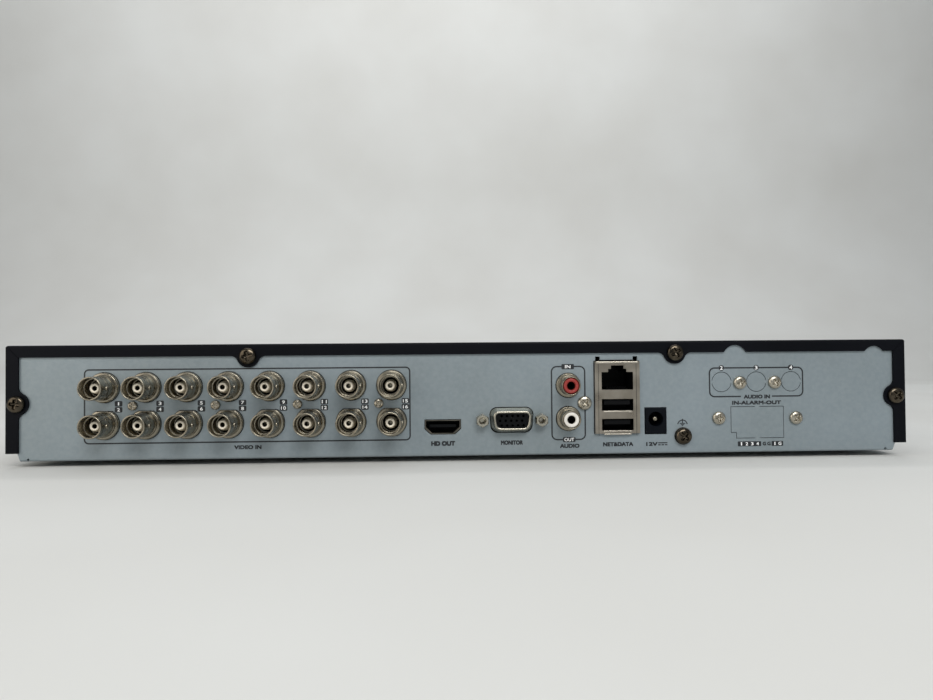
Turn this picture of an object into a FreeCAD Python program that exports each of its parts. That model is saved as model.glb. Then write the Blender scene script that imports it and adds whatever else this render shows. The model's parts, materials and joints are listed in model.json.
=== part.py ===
"""Video recorder for sixteen cameras: a flat steel case with its sockets on the rear panel.

Frame: X across, Y from the front bezel (-Y) to the rear panel (+Y), Z up.
The origin is on the surface that the feet stand on, under the middle of the whole box.
All sizes are in millimetres.
"""
import FreeCAD
import Part
import math
import os

# ---- overall sizes -------------------------------------------------------------------------
body_width = 380.0            # outside of the cover
body_depth = 320.0            # front of the bezel to the outer face of the cover's rear flange
body_height = 48.0            # underside of the chassis to the top of the cover
feet_height = 2.5
sheet = 1.0                   # steel sheet of chassis and cover
connector_reach = 12.0        # how far the camera sockets stand out past the rear flange

# ---- clearances ----------------------------------------------------------------------------
slide_gap = 0.3               # cover to chassis
panel_hole_gap = 0.2          # round piece in its panel hole, on the radius
socket_gap = 0.25             # square socket in its panel cutout, each side
running_gap = 0.5             # fan and platters to what is round them
pin_gap = 0.05                # shaft in its bearing, on the radius

# ---- chassis -------------------------------------------------------------------------------
chassis_floor_inset = 5.4     # floor's edge in from the cover's outside
chassis_slope_inset = 4.2     # top of the sloped lower edges in from the cover's outside
cover_edge_height = 3.4       # lower edge of the cover's sides above the chassis underside
side_wall_height = 44.0
front_wall_height = 42.0
bottom_bend_radius = 0.9
relief_hole = 1.1
relief_hole_height = 0.75
relief_hole_inset = 4.4       # from the side of the sloped edge

# ---- cover ---------------------------------------------------------------------------------
flange_width = 5.0            # rear flange, top and both sides
cover_bend_radius = 0.9
top_tab_places = (91.1, -89.4)   # along the top flange
top_tab_drop = 5.1            # screw below the cover's top
side_tab_height = 23.8        # screw above the chassis underside
side_tab_inset = 4.5          # screw in from the cover's side
tab_radius = 4.7              # round end of each screw tab
tab_fillet = 3.0              # hollow where a tab runs into its flange
mitre_groove = 0.25           # width of the seam where top and side flanges meet
mitre_depth = 0.2
notch_places = ((-115.7, 1.97, 4.9), (-176.7, 2.8, 4.2))   # x, crown below the top, half width
cover_tongue_width = 24.0
cover_tongue_reach = 5.0
cover_tongue_drop = 3.4
cover_tongue_places = (-120.0, 0.0, 120.0)
vent_width = 2.4
vent_height = 22.0
vent_pitch = 6.0
vent_count = 7

# ---- bezel and feet ------------------------------------------------------------------------
bezel_depth = 15.0
bezel_wall = 2.0
bezel_edge = 3.0
window_width = 118.0
window_height = 15.0
window_x = -98.0
window_above_base = 15.0
front_board_gap = 6.0         # bezel's face to the front board
front_board_thick = 1.6
front_usb_x = 150.0
foot_diameter = 20.0
foot_inset_x = 42.0
foot_inset_y = 40.0
foot_recess = 12.0
foot_dish = 1.2
foot_plug = 4.0               # plug through the floor

# ---- camera sockets ------------------------------------------------------------------------
bnc_columns = 8
bnc_first_x = 150.4
bnc_pitch_x = 17.0
bnc_low_row = 15.0            # lower row above the chassis underside
bnc_pitch_z = 15.3
bnc_base_diameter = 12.6
bnc_base_reach = 1.8          # base past the panel's outer face
bnc_barrel_diameter = 9.6
bnc_reach = connector_reach + sheet
bnc_mouth_diameter = 8.16
bnc_mouth_depth = 4.0
bnc_inner_diameter = 7.4
bnc_inner_depth = 8.5
bnc_shank_diameter = 10.4     # behind the panel, in the block
bnc_core_diameter = 4.8
bnc_core_drop = 4.2           # face of the core behind the mouth
bnc_contact_drop = 2.2        # contact tube below the core's face
bnc_pin_hole = 2.0
bnc_lug_diameter = 2.0
bnc_lug_span = 11.0
bnc_lug_drop = 4.8
bnc_flat = 5.4                # flat of the base above its centre
block_depth = 14.0
block_side = 8.2              # block past the outer socket centres
block_screw_inset = 0.9       # screw axis inside the edge of the socket base beside it
block_screw_height = 22.6
block_screw_head = 3.9

# ---- middle sockets ------------------------------------------------------------------------
hd_x = 9.9
hd_height = 12.35
hd_width = 15.0
hd_tall = 5.9
hd_chamfer = 2.6
hd_depth = 11.0
hd_wall = 0.35
vga_x = -19.25
vga_height = 15.0
vga_screw_spacing = 24.99
vga_reach = 5.0
vga_shell_width = 16.6
vga_shell_tall = 8.3
vga_flare = ((0.0, 1.1), (1.2, 0.72), (2.5, 0.34), (3.9, 0.06))   # past the panel, growth of the outline
vga_nut_flats = 5.0
vga_nut_reach = 4.8
vga_thread = 2.6
vga_pin_pitch = 2.29
vga_row_pitch = 1.98
audio_x = -43.55
audio_heights = (15.3, 29.4)
audio_base_diameter = 10.4
audio_sleeve_diameter = 8.0
audio_ring_diameter = 6.4
audio_hole = 3.4
audio_hole_depth = 7.0
audio_reach = 8.0
audio_screw_x = -50.5
audio_screw_height = 21.85
audio_screw_head = 6.0
stack_x = -64.4
stack_width = 19.2
stack_tall = 30.7
stack_bottom = 8.8
stack_depth = 24.0
stack_reach = 1.5
stack_wall = 0.5
ear_width = 2.0
ear_tall = 1.8
net_width = 13.5
net_tall = 7.5
net_height = 31.15            # middle of the network opening above the chassis underside
net_steps = ((7.8, 1.35), (5.4, 1.45))   # width and rise of each step over the opening
usb_width = 13.5
usb_tall = 4.9
usb_heights = (12.6, 21.0)
usb_depth = 10.0
dc_x = -81.05
dc_width = 9.05
dc_tall = 11.0
dc_bottom = 8.4
dc_hole_height = 14.7
dc_hole = 6.3
dc_pin = 2.0
dc_depth = 13.0
dc_reach = 0.6
ground_x = -92.8
ground_height = 7.3
ground_head = 6.95
ground_washer_diameter = 7.4
ground_pitch = 0.794
washer_thick = 0.6
blank_screws_at = ((-117.75, 29.85), (-132.95, 29.9), (-108.4, 14.75), (-142.05, 14.55))
blank_screw_head = 5.6
knockout_x = (-109.9, -125.1, -140.25)
knockout_height = 30.2
knockout_diameter = 8.7
knockout_cut = 0.25
knockout_web = 1.2
alarm_left = -136.9
alarm_right = -113.7
alarm_low = 5.9
alarm_high = 19.65
alarm_step_x = 2.3
alarm_step_z = 2.45
alarm_web = 2.0

# ---- screws --------------------------------------------------------------------------------
cover_screw_head = 6.95
cover_screw_thread = 3.5
cover_screw_length = 6.0
small_thread = 2.5
small_screw_length = 5.0
head_height = 0.3             # share of the head's diameter

# ---- mainboard -----------------------------------------------------------------------------
board_left = -88.5
board_right = 163.0
board_depth = 120.0
board_thick = 1.6
board_standoff = 4.8
board_to_panel = 0.6
heatsink_side = 40.0
heatsink_tall = 14.0
heatsink_fins = 9
chip_side = 27.0
chip_tall = 2.0
processor_x = 6.0
processor_from_front = 50.0

# ---- hard disk -----------------------------------------------------------------------------
drive_length = 147.0
drive_width = 101.6
drive_tall = 26.1
drive_left = 20.0
drive_from_front = 9.0        # inner face of the front wall to the drive
drive_boss = 4.0
platter_diameter = 95.0
platter_hub = 25.0
platter_thick = 1.3
platter_gap = 3.2
spindle_diameter = 8.0
arm_pivot_diameter = 6.0
arm_reach = 40.0
arm_blade = 0.8
parked_angle = 68.0           # arm from +X towards +Y when it is off the platters
spindle_from_end = 51.0
pivot_from_spindle = (60.0, 18.0)
well_above_drive = 8.0
platter_above_well = 3.5
drive_hole_spacing_x = 44.45
drive_hole_from_side = 3.175
drive_hole_from_end = 60.3

# ---- fan -----------------------------------------------------------------------------------
fan_side = 40.0
fan_depth = 10.0
fan_bore = 37.6
fan_hub = 21.0
fan_blades = 7
fan_shaft = 3.0
fan_hole_spacing = 32.0
fan_from_rear = 62.0
fan_wall = 1.2

# ---- leads held inside ---------------------------------------------------------------------
data_lead_from_front = 30.0
power_lead_from_front = 62.0
data_lead_x = -12.0
power_lead_x = 4.0
bend_radius = 9.0
lead_above_board = 4.2
ribbon_x = 62.0
ribbon_width = 18.0
ribbon_thick = 0.8
ribbon_above_drive = 0.3
ribbon_header_from_front = 14.0

# ---- places that follow --------------------------------------------------------------------
base_z = feet_height
top_z = base_z + body_height
floor_z = base_z + sheet
half_width = body_width / 2
chassis_floor_width = body_width - 2 * chassis_floor_inset
block_screw_x = bnc_first_x - bnc_pitch_x + bnc_base_diameter / 2 - block_screw_inset
chassis_slope_width = body_width - 2 * chassis_slope_inset
front_y = -(body_depth + connector_reach) / 2
flange_y = front_y + body_depth
panel_y = flange_y - sheet
panel_in_y = panel_y - sheet
wall_y = front_y + bezel_depth
wall_in_y = wall_y + sheet
side_out_x = half_width - sheet - slide_gap
side_in_x = side_out_x - sheet
board_z = floor_z + board_standoff
board_top = board_z + board_thick
board_rear = panel_in_y - board_to_panel
board_front = board_rear - board_depth
drive_right = drive_left + drive_length
drive_front = wall_in_y + drive_from_front
drive_rear = drive_front + drive_width
drive_z = floor_z + drive_boss
drive_top = drive_z + drive_tall
fan_y = panel_in_y - fan_from_rear
fan_z = base_z + cover_edge_height + slide_gap + sheet + 0.4 + fan_side / 2
bnc_tip_y = panel_y + bnc_reach
lead_z = board_top + lead_above_board
window_z = base_z + window_above_base
front_board_y = front_y + bezel_wall + front_board_gap
processor_y = board_front + processor_from_front
spindle_x = drive_right - spindle_from_end
spindle_y = drive_front + drive_width / 2
pivot_x = spindle_x - pivot_from_spindle[0]
pivot_y = spindle_y - pivot_from_spindle[1]
well_z = drive_z + well_above_drive
platter_low = well_z + platter_above_well
data_lead_y = drive_front + data_lead_from_front
power_lead_y = drive_front + power_lead_from_front
ribbon_z = drive_top + ribbon_above_drive
ribbon_header_y = board_front + ribbon_header_from_front


# ---- small builders ------------------------------------------------------------------------
def vec(x, y, z):
    return FreeCAD.Vector(x, y, z)


X_AXIS, Y_AXIS, Z_AXIS = vec(1, 0, 0), vec(0, 1, 0), vec(0, 0, 1)


def block(x0, x1, y0, y1, z0, z1):
    """A box between two corners."""
    return Part.makeBox(x1 - x0, y1 - y0, z1 - z0, vec(x0, y0, z0))


def rod_x(y, z, diameter, x0, x1):
    return Part.makeCylinder(diameter / 2, x1 - x0, vec(x0, y, z), X_AXIS)


def rod_y(x, z, diameter, y0, y1):
    return Part.makeCylinder(diameter / 2, y1 - y0, vec(x, y0, z), Y_AXIS)


def rod_z(x, y, diameter, z0, z1):
    return Part.makeCylinder(diameter / 2, z1 - z0, vec(x, y, z0), Z_AXIS)


def prism_y(points, y0, y1):
    """A polygon of (x, z) points carried along Y."""
    corners = [vec(x, y0, z) for x, z in points]
    face = Part.Face(Part.makePolygon(corners + corners[:1]))
    return face.extrude(vec(0, y1 - y0, 0))


def prism_z(points, z0, z1):
    """A polygon of (x, y) points carried along Z."""
    corners = [vec(x, y, z0) for x, y in points]
    face = Part.Face(Part.makePolygon(corners + corners[:1]))
    return face.extrude(vec(0, 0, z1 - z0))


def turned_y(profile, x, z):
    """A closed (radius, y) profile turned about the line through x, z along Y."""
    corners = [vec(x + radius, y, z) for radius, y in profile]
    face = Part.Face(Part.makePolygon(corners + corners[:1]))
    return face.revolve(vec(x, 0, z), Y_AXIS, 360)


def rounded_plate(x, z, wide, tall, radius, y0, y1):
    """A rectangle with round corners, facing along Y."""
    plate = block(x - wide / 2, x + wide / 2, y0, y1, z - tall / 2, z + tall / 2)
    corners = [edge for edge in plate.Edges if abs(edge.tangentAt(edge.FirstParameter).y) > 0.99]
    return plate.makeFillet(radius, corners)


def union(shapes):
    return shapes[0].multiFuse(shapes[1:]).removeSplitter() if len(shapes) > 1 else shapes[0]


def cut(shape, tools):
    return shape.cut(Part.Compound(tools))


def group(shapes):
    """Separate solids kept together in one file."""
    return Part.Compound(shapes)


def save(name, shape):
    shape.exportStep("parts/" + name + ".step")


def cross_recess(x, z, head, y_face):
    """The cut of a cross point driver in a screw head that faces +Y."""
    arm = head * 0.29
    web = head * 0.085
    deep = head * head_height * 0.6
    return [block(x - arm, x + arm, y_face - deep, y_face + 1, z - web, z + web),
            block(x - web, x + web, y_face - deep, y_face + 1, z - arm, z + arm)]


def pan_screw(x, z, seat_y, head, thread, length):
    """A pan head screw whose head faces +Y and bears at seat_y."""
    tall = head * head_height
    rim = tall * 0.45
    side = head / 2
    profile = [(0, seat_y - length), (thread / 2 - 0.4, seat_y - length), (thread / 2, seat_y - length + 0.6),
               (thread / 2, seat_y), (side, seat_y), (side, seat_y + rim),
               (side * 0.86, seat_y + tall * 0.82),
               (side * 0.6, seat_y + tall), (0, seat_y + tall)]
    return cut(turned_y(profile, x, z), cross_recess(x, z, head, seat_y + tall))


def screw_down(x, y, seat_z, head, thread, length):
    """A pan head screw standing upright with its head above seat_z."""
    screw = pan_screw(0, 0, 0, head, thread, length)
    screw.rotate(vec(0, 0, 0), X_AXIS, 90)
    screw.translate(vec(x, y, seat_z))
    return screw


# ---- where things sit on the rear panel ----------------------------------------------------
def bnc_places():
    """(x, z) of the sixteen camera sockets, upper then lower in each column."""
    places = []
    for column in range(bnc_columns):
        x = bnc_first_x - column * bnc_pitch_x
        places += [(x, base_z + bnc_low_row + bnc_pitch_z), (x, base_z + bnc_low_row)]
    return places


def block_screw_places():
    return [(block_screw_x - 2 * bnc_pitch_x * k, base_z + block_screw_height)
            for k in range(bnc_columns // 2)]


def cover_screw_places():
    sides = [(side * (half_width - side_tab_inset), base_z + side_tab_height) for side in (-1, 1)]
    return sides + [(x, top_z - top_tab_drop) for x in top_tab_places]


def bezel_screw_places():
    return [(side * (side_in_x - 22), base_z + height) for side in (-1, 1) for height in (10, 34)]


def foot_places():
    xs = (-half_width + foot_inset_x, half_width - foot_inset_x)
    ys = (wall_y + foot_inset_y, panel_y - foot_inset_y)
    return [(x, y) for x in xs for y in ys]


def board_screw_places():
    xs = (board_left + 6, (board_left + board_right) / 2 + 20, board_right - 6)
    return [(x, y) for x in xs for y in (board_front + 6, board_front + 50)]


def bay_hole_places(left):
    """The four fixing holes of a drive whose left end is at left."""
    x0 = left + drive_hole_from_end
    ys = (drive_front + drive_hole_from_side, drive_rear - drive_hole_from_side)
    return [(x0 + dx, y) for dx in (0, drive_hole_spacing_x) for y in ys]


def hd_outline(grow):
    """The outline of the digital video socket: a flat box with its lower corners cut off."""
    half = hd_width / 2 + grow
    low = base_z + hd_height - hd_tall / 2 - grow
    high = base_z + hd_height + hd_tall / 2 + grow
    corner = hd_chamfer - 0.5 * min(grow, 0)
    return [(hd_x - half, high), (hd_x + half, high), (hd_x + half, low + corner * 0.9),
            (hd_x + half - corner, low), (hd_x - half + corner, low), (hd_x - half, low + corner * 0.9)]


def monitor_outline(grow, y0, y1):
    """The D of the monitor socket: wider at its top, with round corners."""
    half = vga_shell_width / 2 + grow
    tall = vga_shell_tall / 2 + grow
    z = base_z + vga_height
    lean = 0.9
    shape = prism_y([(vga_x - half, z + tall), (vga_x + half, z + tall),
                     (vga_x + half - lean, z - tall), (vga_x - half + lean, z - tall)], y0, y1)
    corners = [edge for edge in shape.Edges if abs(edge.tangentAt(edge.FirstParameter).y) > 0.99]
    return shape.makeFillet(2.2 + grow * 0.8, corners)


def stack_outline(grow, y0, y1):
    """The network and data stack with the two ears at its top corners."""
    low = base_z + stack_bottom - grow
    high = base_z + stack_bottom + stack_tall + grow
    half = stack_width / 2 + grow
    body = block(stack_x - half, stack_x + half, y0, y1, low, high)
    if grow <= 0:
        return body
    ears = [block(stack_x + side * half - ear_width / 2, stack_x + side * half + ear_width / 2,
                  y0, y1, high - 1, high + ear_tall) for side in (-0.82, 0.82)]
    return union([body] + ears)


# ---- chassis and cover ---------------------------------------------------------------------
def chassis_profile():
    """The folded section of the floor and side walls, outside then inside."""
    floor_half = chassis_floor_width / 2
    slope_half = chassis_slope_width / 2
    step_z = base_z + cover_edge_height + slide_gap
    wall_top = base_z + side_wall_height
    right_out = [(floor_half, base_z), (slope_half, step_z), (side_out_x, step_z), (side_out_x, wall_top)]
    right_in = [(side_in_x, wall_top), (side_in_x, step_z + sheet), (slope_half - sheet, step_z + sheet),
                (floor_half - sheet, floor_z)]
    right = right_out + right_in
    return right + [(-x, z) for x, z in reversed(right)]


def rear_plate():
    """The rear panel's flat outline, with the sloped lower corners."""
    floor_half = chassis_floor_width / 2
    slope_half = chassis_slope_width / 2
    step_z = base_z + cover_edge_height + slide_gap
    plate_top = top_z - sheet - slide_gap
    right = [(floor_half, base_z), (slope_half, step_z), (side_out_x, step_z), (side_out_x, plate_top)]
    return prism_y(right + [(-x, z) for x, z in reversed(right)], panel_in_y, panel_y)


def knockout_cuts():
    """Ring and window cuts that leave blanks held by small webs."""
    y0, y1 = panel_in_y - 1, panel_y + 1
    cuts = []
    for x in knockout_x:
        z = base_z + knockout_height
        ring = rod_y(x, z, knockout_diameter, y0, y1)
        ring = ring.cut(rod_y(x, z, knockout_diameter - 2 * knockout_cut, y0 - 1, y1 + 1))
        web = block(x - knockout_diameter, x + knockout_diameter, y0 - 1, y1 + 1,
                    z - knockout_web / 2, z + knockout_web / 2)
        cuts += ring.cut(web).Solids
    low, high = base_z + alarm_low, base_z + alarm_high
    outline = [(alarm_left, high), (alarm_right, high), (alarm_right, low + alarm_step_z),
               (alarm_right - alarm_step_x, low + alarm_step_z), (alarm_right - alarm_step_x, low),
               (alarm_left, low)]
    inset = [(alarm_left + knockout_cut, high - knockout_cut),
             (alarm_right - knockout_cut, high - knockout_cut),
             (alarm_right - knockout_cut, low + alarm_step_z + knockout_cut),
             (alarm_right - alarm_step_x - knockout_cut, low + alarm_step_z + knockout_cut),
             (alarm_right - alarm_step_x - knockout_cut, low + knockout_cut),
             (alarm_left + knockout_cut, low + knockout_cut)]
    frame = prism_y(outline, y0, y1).cut(prism_y(inset, y0 - 1, y1 + 1))
    middle = (alarm_left + alarm_right) / 2
    webs = [block(middle - alarm_web / 2, middle + alarm_web / 2, y0 - 1, y1 + 1, low - 1, high + 1)]
    return cuts + frame.cut(Part.Compound(webs)).Solids


def lower_row(z):
    """Whether a camera socket is in the lower row, whose bases have a flat on top."""
    return z < base_z + bnc_low_row + bnc_pitch_z / 2


def camera_hole(x, z, y0, y1):
    """The panel hole of one camera socket, with the flat that keeps a lower one from turning."""
    hole = rod_y(x, z, bnc_base_diameter + 2 * panel_hole_gap, y0, y1)
    if not lower_row(z):
        return hole
    low = z + bnc_flat + panel_hole_gap
    return hole.cut(block(x - bnc_base_diameter, x + bnc_base_diameter, y0 - 1, y1 + 1, low,
                          z + bnc_base_diameter))


def panel_cuts():
    """Every hole in the rear panel."""
    y0, y1 = panel_in_y - 1, panel_y + 1
    cuts = [camera_hole(x, z, y0, y1) for x, z in bnc_places()]
    cuts += [rod_y(x, z, small_thread + 2 * panel_hole_gap, y0, y1) for x, z in block_screw_places()]
    cuts += [rod_y(x, z, cover_screw_thread, y0, y1) for x, z in cover_screw_places()]
    cuts += [prism_y(hd_outline(socket_gap), y0, y1), monitor_outline(vga_flare[0][1] + socket_gap, y0, y1)]
    for side in (-1, 1):
        cuts.append(rod_y(vga_x + side * vga_screw_spacing / 2, base_z + vga_height,
                          vga_thread + 0.6 + 2 * panel_hole_gap, y0, y1))
        cuts.append(rod_y(side * (chassis_slope_width / 2 - relief_hole_inset), base_z + relief_hole_height,
                          relief_hole, y0, y1))
    cuts += [rod_y(audio_x, base_z + height, audio_base_diameter + 2 * panel_hole_gap, y0, y1)
             for height in audio_heights]
    cuts.append(rod_y(audio_screw_x, base_z + audio_screw_height, small_thread + 0.4, y0, y1))
    cuts.append(stack_outline(socket_gap, y0, y1))
    cuts.append(block(dc_x - dc_width / 2 - socket_gap, dc_x + dc_width / 2 + socket_gap, y0, y1,
                      base_z + dc_bottom - socket_gap, base_z + dc_bottom + dc_tall + socket_gap))
    cuts.append(rod_y(ground_x, base_z + ground_height, cover_screw_thread + 2 * pin_gap, y0, y1))
    cuts += [rod_y(x, base_z + height, small_thread + 2 * pin_gap, y0, y1) for x, height in blank_screws_at]
    return cuts + knockout_cuts()


def front_wall():
    """The chassis front wall, with the ribbon slot and the bezel screw holes."""
    half = side_out_x - sheet / 2
    wall = block(-half, half, wall_y, wall_in_y, base_z + cover_edge_height + slide_gap,
                 base_z + front_wall_height)
    lower = block(-chassis_floor_width / 2, chassis_floor_width / 2, wall_y, wall_in_y,
                  base_z, base_z + front_wall_height)
    holes = [rod_y(x, z, small_thread + 2 * panel_hole_gap, wall_y - 1, wall_in_y + 1)
             for x, z in bezel_screw_places()]
    ribbon_slot = block(ribbon_x - ribbon_width / 2 - 2, ribbon_x + ribbon_width / 2 + 2,
                        wall_y - 1, wall_in_y + 1, ribbon_z - 2, ribbon_z + ribbon_thick + 2)
    return cut(union([wall, lower]), holes + [ribbon_slot])


def standoffs():
    """Pillars for the mainboard and raised pads for the two drive bays."""
    posts = []
    for x, y in board_screw_places():
        post = rod_z(x, y, 6.0, floor_z - sheet / 2, board_z)
        posts.append(post.cut(rod_z(x, y, small_thread, floor_z, board_z + 1)))
    for left in (drive_left, -drive_right):
        for x, y in bay_hole_places(left):
            pad = Part.makeCone(6.5, 5.0, drive_z - floor_z + sheet / 2, vec(x, y, floor_z - sheet / 2))
            posts.append(pad)
    return posts


def bay_holes():
    return [rod_z(x, y, 3.5 + 2 * panel_hole_gap, base_z - 1, drive_z + 1)
            for left in (drive_left, -drive_right) for x, y in bay_hole_places(left)]


def floor_vents():
    """Slots in the floor under the gap between drive and mainboard."""
    middle = (drive_rear + board_front) / 2
    return [block(x - 1.2, x + 1.2, middle - 12, middle + 12, base_z - 1, floor_z + 1)
            for x in [offset + step * 6.0 for offset in (-130, 60) for step in range(12)]]


def make_chassis():
    pan = prism_y(chassis_profile(), wall_y, panel_in_y)
    shell = union([pan, rear_plate(), front_wall()] + standoffs())
    rim = [edge for edge in shell.Edges
           if abs(edge.CenterOfMass.y - panel_y) < 0.01 and abs(edge.CenterOfMass.z - base_z) < 0.01]
    shell = shell.makeFillet(bottom_bend_radius, rim)
    foot_holes = [rod_z(x, y, foot_plug, base_z - 1, floor_z + 1) for x, y in foot_places()]
    fan_hole = rod_x(fan_y, fan_z, fan_bore, -side_out_x - 1, -side_in_x + 1)
    fan_screw_holes = [rod_x(fan_y + dy, fan_z + dz, small_thread + 2 * panel_hole_gap,
                             -side_out_x - 1, -side_in_x + 1) for dy, dz in fan_corners()]
    cuts = panel_cuts() + bay_holes() + floor_vents() + foot_holes + [fan_hole] + fan_screw_holes
    return cut(shell, cuts)


def cover_section():
    """The folded section of the cover: top and two sides."""
    low = base_z + cover_edge_height
    out, inn = half_width, half_width - sheet
    return [(-out, low), (-out, top_z), (out, top_z), (out, low),
            (inn, low), (inn, top_z - sheet), (-inn, top_z - sheet), (-inn, low)]


def round_tab(x, z, edge_x, edge_z):
    """A round screw tab on a flange edge, with hollow fillets; the edge is upright if edge_x is given."""
    y0, y1 = flange_y - sheet, flange_y
    disc = rod_y(x, z, 2 * tab_radius, y0, y1)
    if edge_x is None:
        inward = edge_z - z
    else:
        inward = abs(edge_x) - abs(x)
    rise = tab_fillet - inward
    reach = math.sqrt((tab_radius + tab_fillet) ** 2 - rise ** 2)
    pieces = [disc]
    for side in (-1, 1):
        if edge_x is None:
            centre = (x + side * reach, edge_z - tab_fillet)
            wedge = [(x, edge_z + 1), (centre[0], edge_z + 1), centre, (x, z)]
        else:
            away = 1 if edge_x > 0 else -1
            centre = (edge_x - away * tab_fillet, z + side * reach)
            wedge = [(edge_x + away, z), (edge_x + away, centre[1]), centre, (x, z)]
        hollow = rod_y(centre[0], centre[1], 2 * tab_fillet, y0 - 1, y1 + 1)
        pieces.append(prism_y(wedge, y0, y1).cut(hollow))
    return union(pieces)


def cover_flange():
    """The rear flange: a band on the top and sides with four screw tabs and two notches."""
    y0, y1 = flange_y - sheet, flange_y
    low = base_z + cover_edge_height
    pieces = [block(-half_width, half_width, y0, y1, top_z - flange_width, top_z)]
    for side in (-1, 1):
        inner = half_width - flange_width
        x0, x1 = sorted((side * inner, side * half_width))
        pieces.append(block(x0, x1, y0, y1, low, top_z))
        pieces.append(round_tab(side * (half_width - side_tab_inset), base_z + side_tab_height, side * inner,
                                None))
    pieces += [round_tab(x, top_z - top_tab_drop, None, top_z - flange_width) for x in top_tab_places]
    cuts = [rod_y(x, z, cover_screw_thread + 2 * panel_hole_gap, y0 - 1, y1 + 1) for x,
            z in cover_screw_places()]
    for x, crown, half in notch_places:
        cuts.append(notch(x, crown, half, y0 - 1, y1 + 1))
    edge = block(-half_width, half_width, y0, y1, low, top_z)
    return cut(union(pieces).common(edge), cuts)


def mitre_seams():
    """Shallow grooves across the two top corners of the rear flange."""
    seams = []
    for side in (-1, 1):
        inner = vec(side * (half_width - flange_width - 1), 0, top_z - flange_width - 1)
        length = (flange_width + 2) * math.sqrt(2)
        seam = block(0, length, flange_y - mitre_depth, flange_y + 1, -mitre_groove / 2, mitre_groove / 2)
        seam.rotate(vec(0, 0, 0), Y_AXIS, -45 if side > 0 else -135)
        seam.translate(inner)
        seams.append(seam)
    return seams


def notch(x, crown, half, y0, y1):
    """A low arch cut up into the flange's lower edge."""
    rise = flange_width - crown
    radius = (half * half + rise * rise) / (2 * rise)
    arch = rod_y(x, top_z - crown - radius, 2 * radius, y0, y1)
    window = block(x - half, x + half, y0, y1, top_z - flange_width - 1, top_z - crown + 1)
    return arch.common(window)


def cover_tongues():
    """Joggled tongues on the front edge that go in behind the bezel's top."""
    pieces = []
    for x in cover_tongue_places:
        x0, x1 = x - cover_tongue_width / 2, x + cover_tongue_width / 2
        low = top_z - cover_tongue_drop
        pieces.append(block(x0, x1, wall_y + slide_gap, wall_y + slide_gap + sheet, low - sheet,
                            top_z - sheet / 2))
        pieces.append(block(x0, x1, wall_y - cover_tongue_reach, wall_y + slide_gap + sheet / 2, low - sheet,
                            low))
    return pieces


def cover_vents():
    """Upright slots in both sides, level with the fan."""
    low = fan_z - vent_height / 2
    cuts = []
    for side in (-1, 1):
        x0, x1 = sorted((side * (half_width - sheet - 1), side * (half_width + 1)))
        for index in range(vent_count):
            y = fan_y + (index - (vent_count - 1) / 2) * vent_pitch
            cuts.append(block(x0, x1, y - vent_width / 2, y + vent_width / 2, low, low + vent_height))
    return cuts


def make_cover():
    hull = prism_y(cover_section(), wall_y + slide_gap, flange_y - sheet / 2)
    shell = union([hull, cover_flange()] + cover_tongues())
    outer = [edge for edge in shell.Edges
             if edge.Length > body_depth / 2 and abs(edge.CenterOfMass.z - top_z) < 0.01
             and abs(abs(edge.CenterOfMass.x) - half_width) < 0.01]
    outer += [edge for edge in shell.Edges
              if edge.Length > body_width / 2 and abs(edge.CenterOfMass.z - top_z) < 0.01
              and abs(edge.CenterOfMass.y - flange_y) < 0.01]
    return cut(shell.makeFillet(cover_bend_radius, outer), cover_vents() + mitre_seams())


# ---- bezel, window, feet -------------------------------------------------------------------
def make_bezel():
    """The moulded front: a shallow tray that opens to the rear."""
    outer = block(-half_width, half_width, front_y, wall_y, base_z, top_z)
    front_edges = [edge for edge in outer.Edges if abs(edge.CenterOfMass.y - front_y) < 0.01]
    outer = outer.makeFillet(bezel_edge, front_edges)
    hollow = block(-half_width + bezel_wall, half_width - bezel_wall, front_y + bezel_wall, wall_y + 1,
                   base_z + bezel_wall, top_z - bezel_wall)
    groove = block(-half_width - 1, half_width + 1, front_y - 1, front_y + 0.8,
                   base_z + body_height * 0.62, base_z + body_height * 0.62 + 1.2)
    shell = cut(outer, [hollow, groove])
    bosses = [rod_y(x, z, 7.0, front_y + bezel_wall / 2, wall_y) for x, z in bezel_screw_places()]
    pegs = [rod_y(x, z, 4.0, front_y + bezel_wall / 2, front_board_y) for x, z in front_peg_places()]
    shell = union([shell] + bosses + pegs)
    cuts = [rod_y(x, z, small_thread, wall_y - 6, wall_y + 1) for x, z in bezel_screw_places()]
    cuts.append(rounded_plate(window_x, window_z, window_width, window_height, 3.0,
                              front_y - 1, front_y + bezel_wall + 1))
    cuts.append(block(front_usb_x - usb_width / 2 - 0.9, front_usb_x + usb_width / 2 + 0.9,
                      front_y - 1, front_y + bezel_wall + 1,
                      window_z - usb_tall / 2 - 0.9, window_z + usb_tall / 2 + 0.9))
    return cut(shell, cuts)


def front_peg_places():
    return [(x, window_z + 13) for x in (window_x - 45, window_x + 45, 20.0, front_usb_x - 12)]


def make_window():
    """The dark clear strip over the status lights: a face in the opening and a rim behind it."""
    face = rounded_plate(window_x, window_z, window_width - 0.3, window_height - 0.3, 2.85,
                         front_y + 0.2, front_y + bezel_wall)
    rim = rounded_plate(window_x, window_z, window_width + 4, window_height + 4, 3.0,
                        front_y + bezel_wall, front_y + bezel_wall + 1)
    return union([face, rim])


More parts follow.
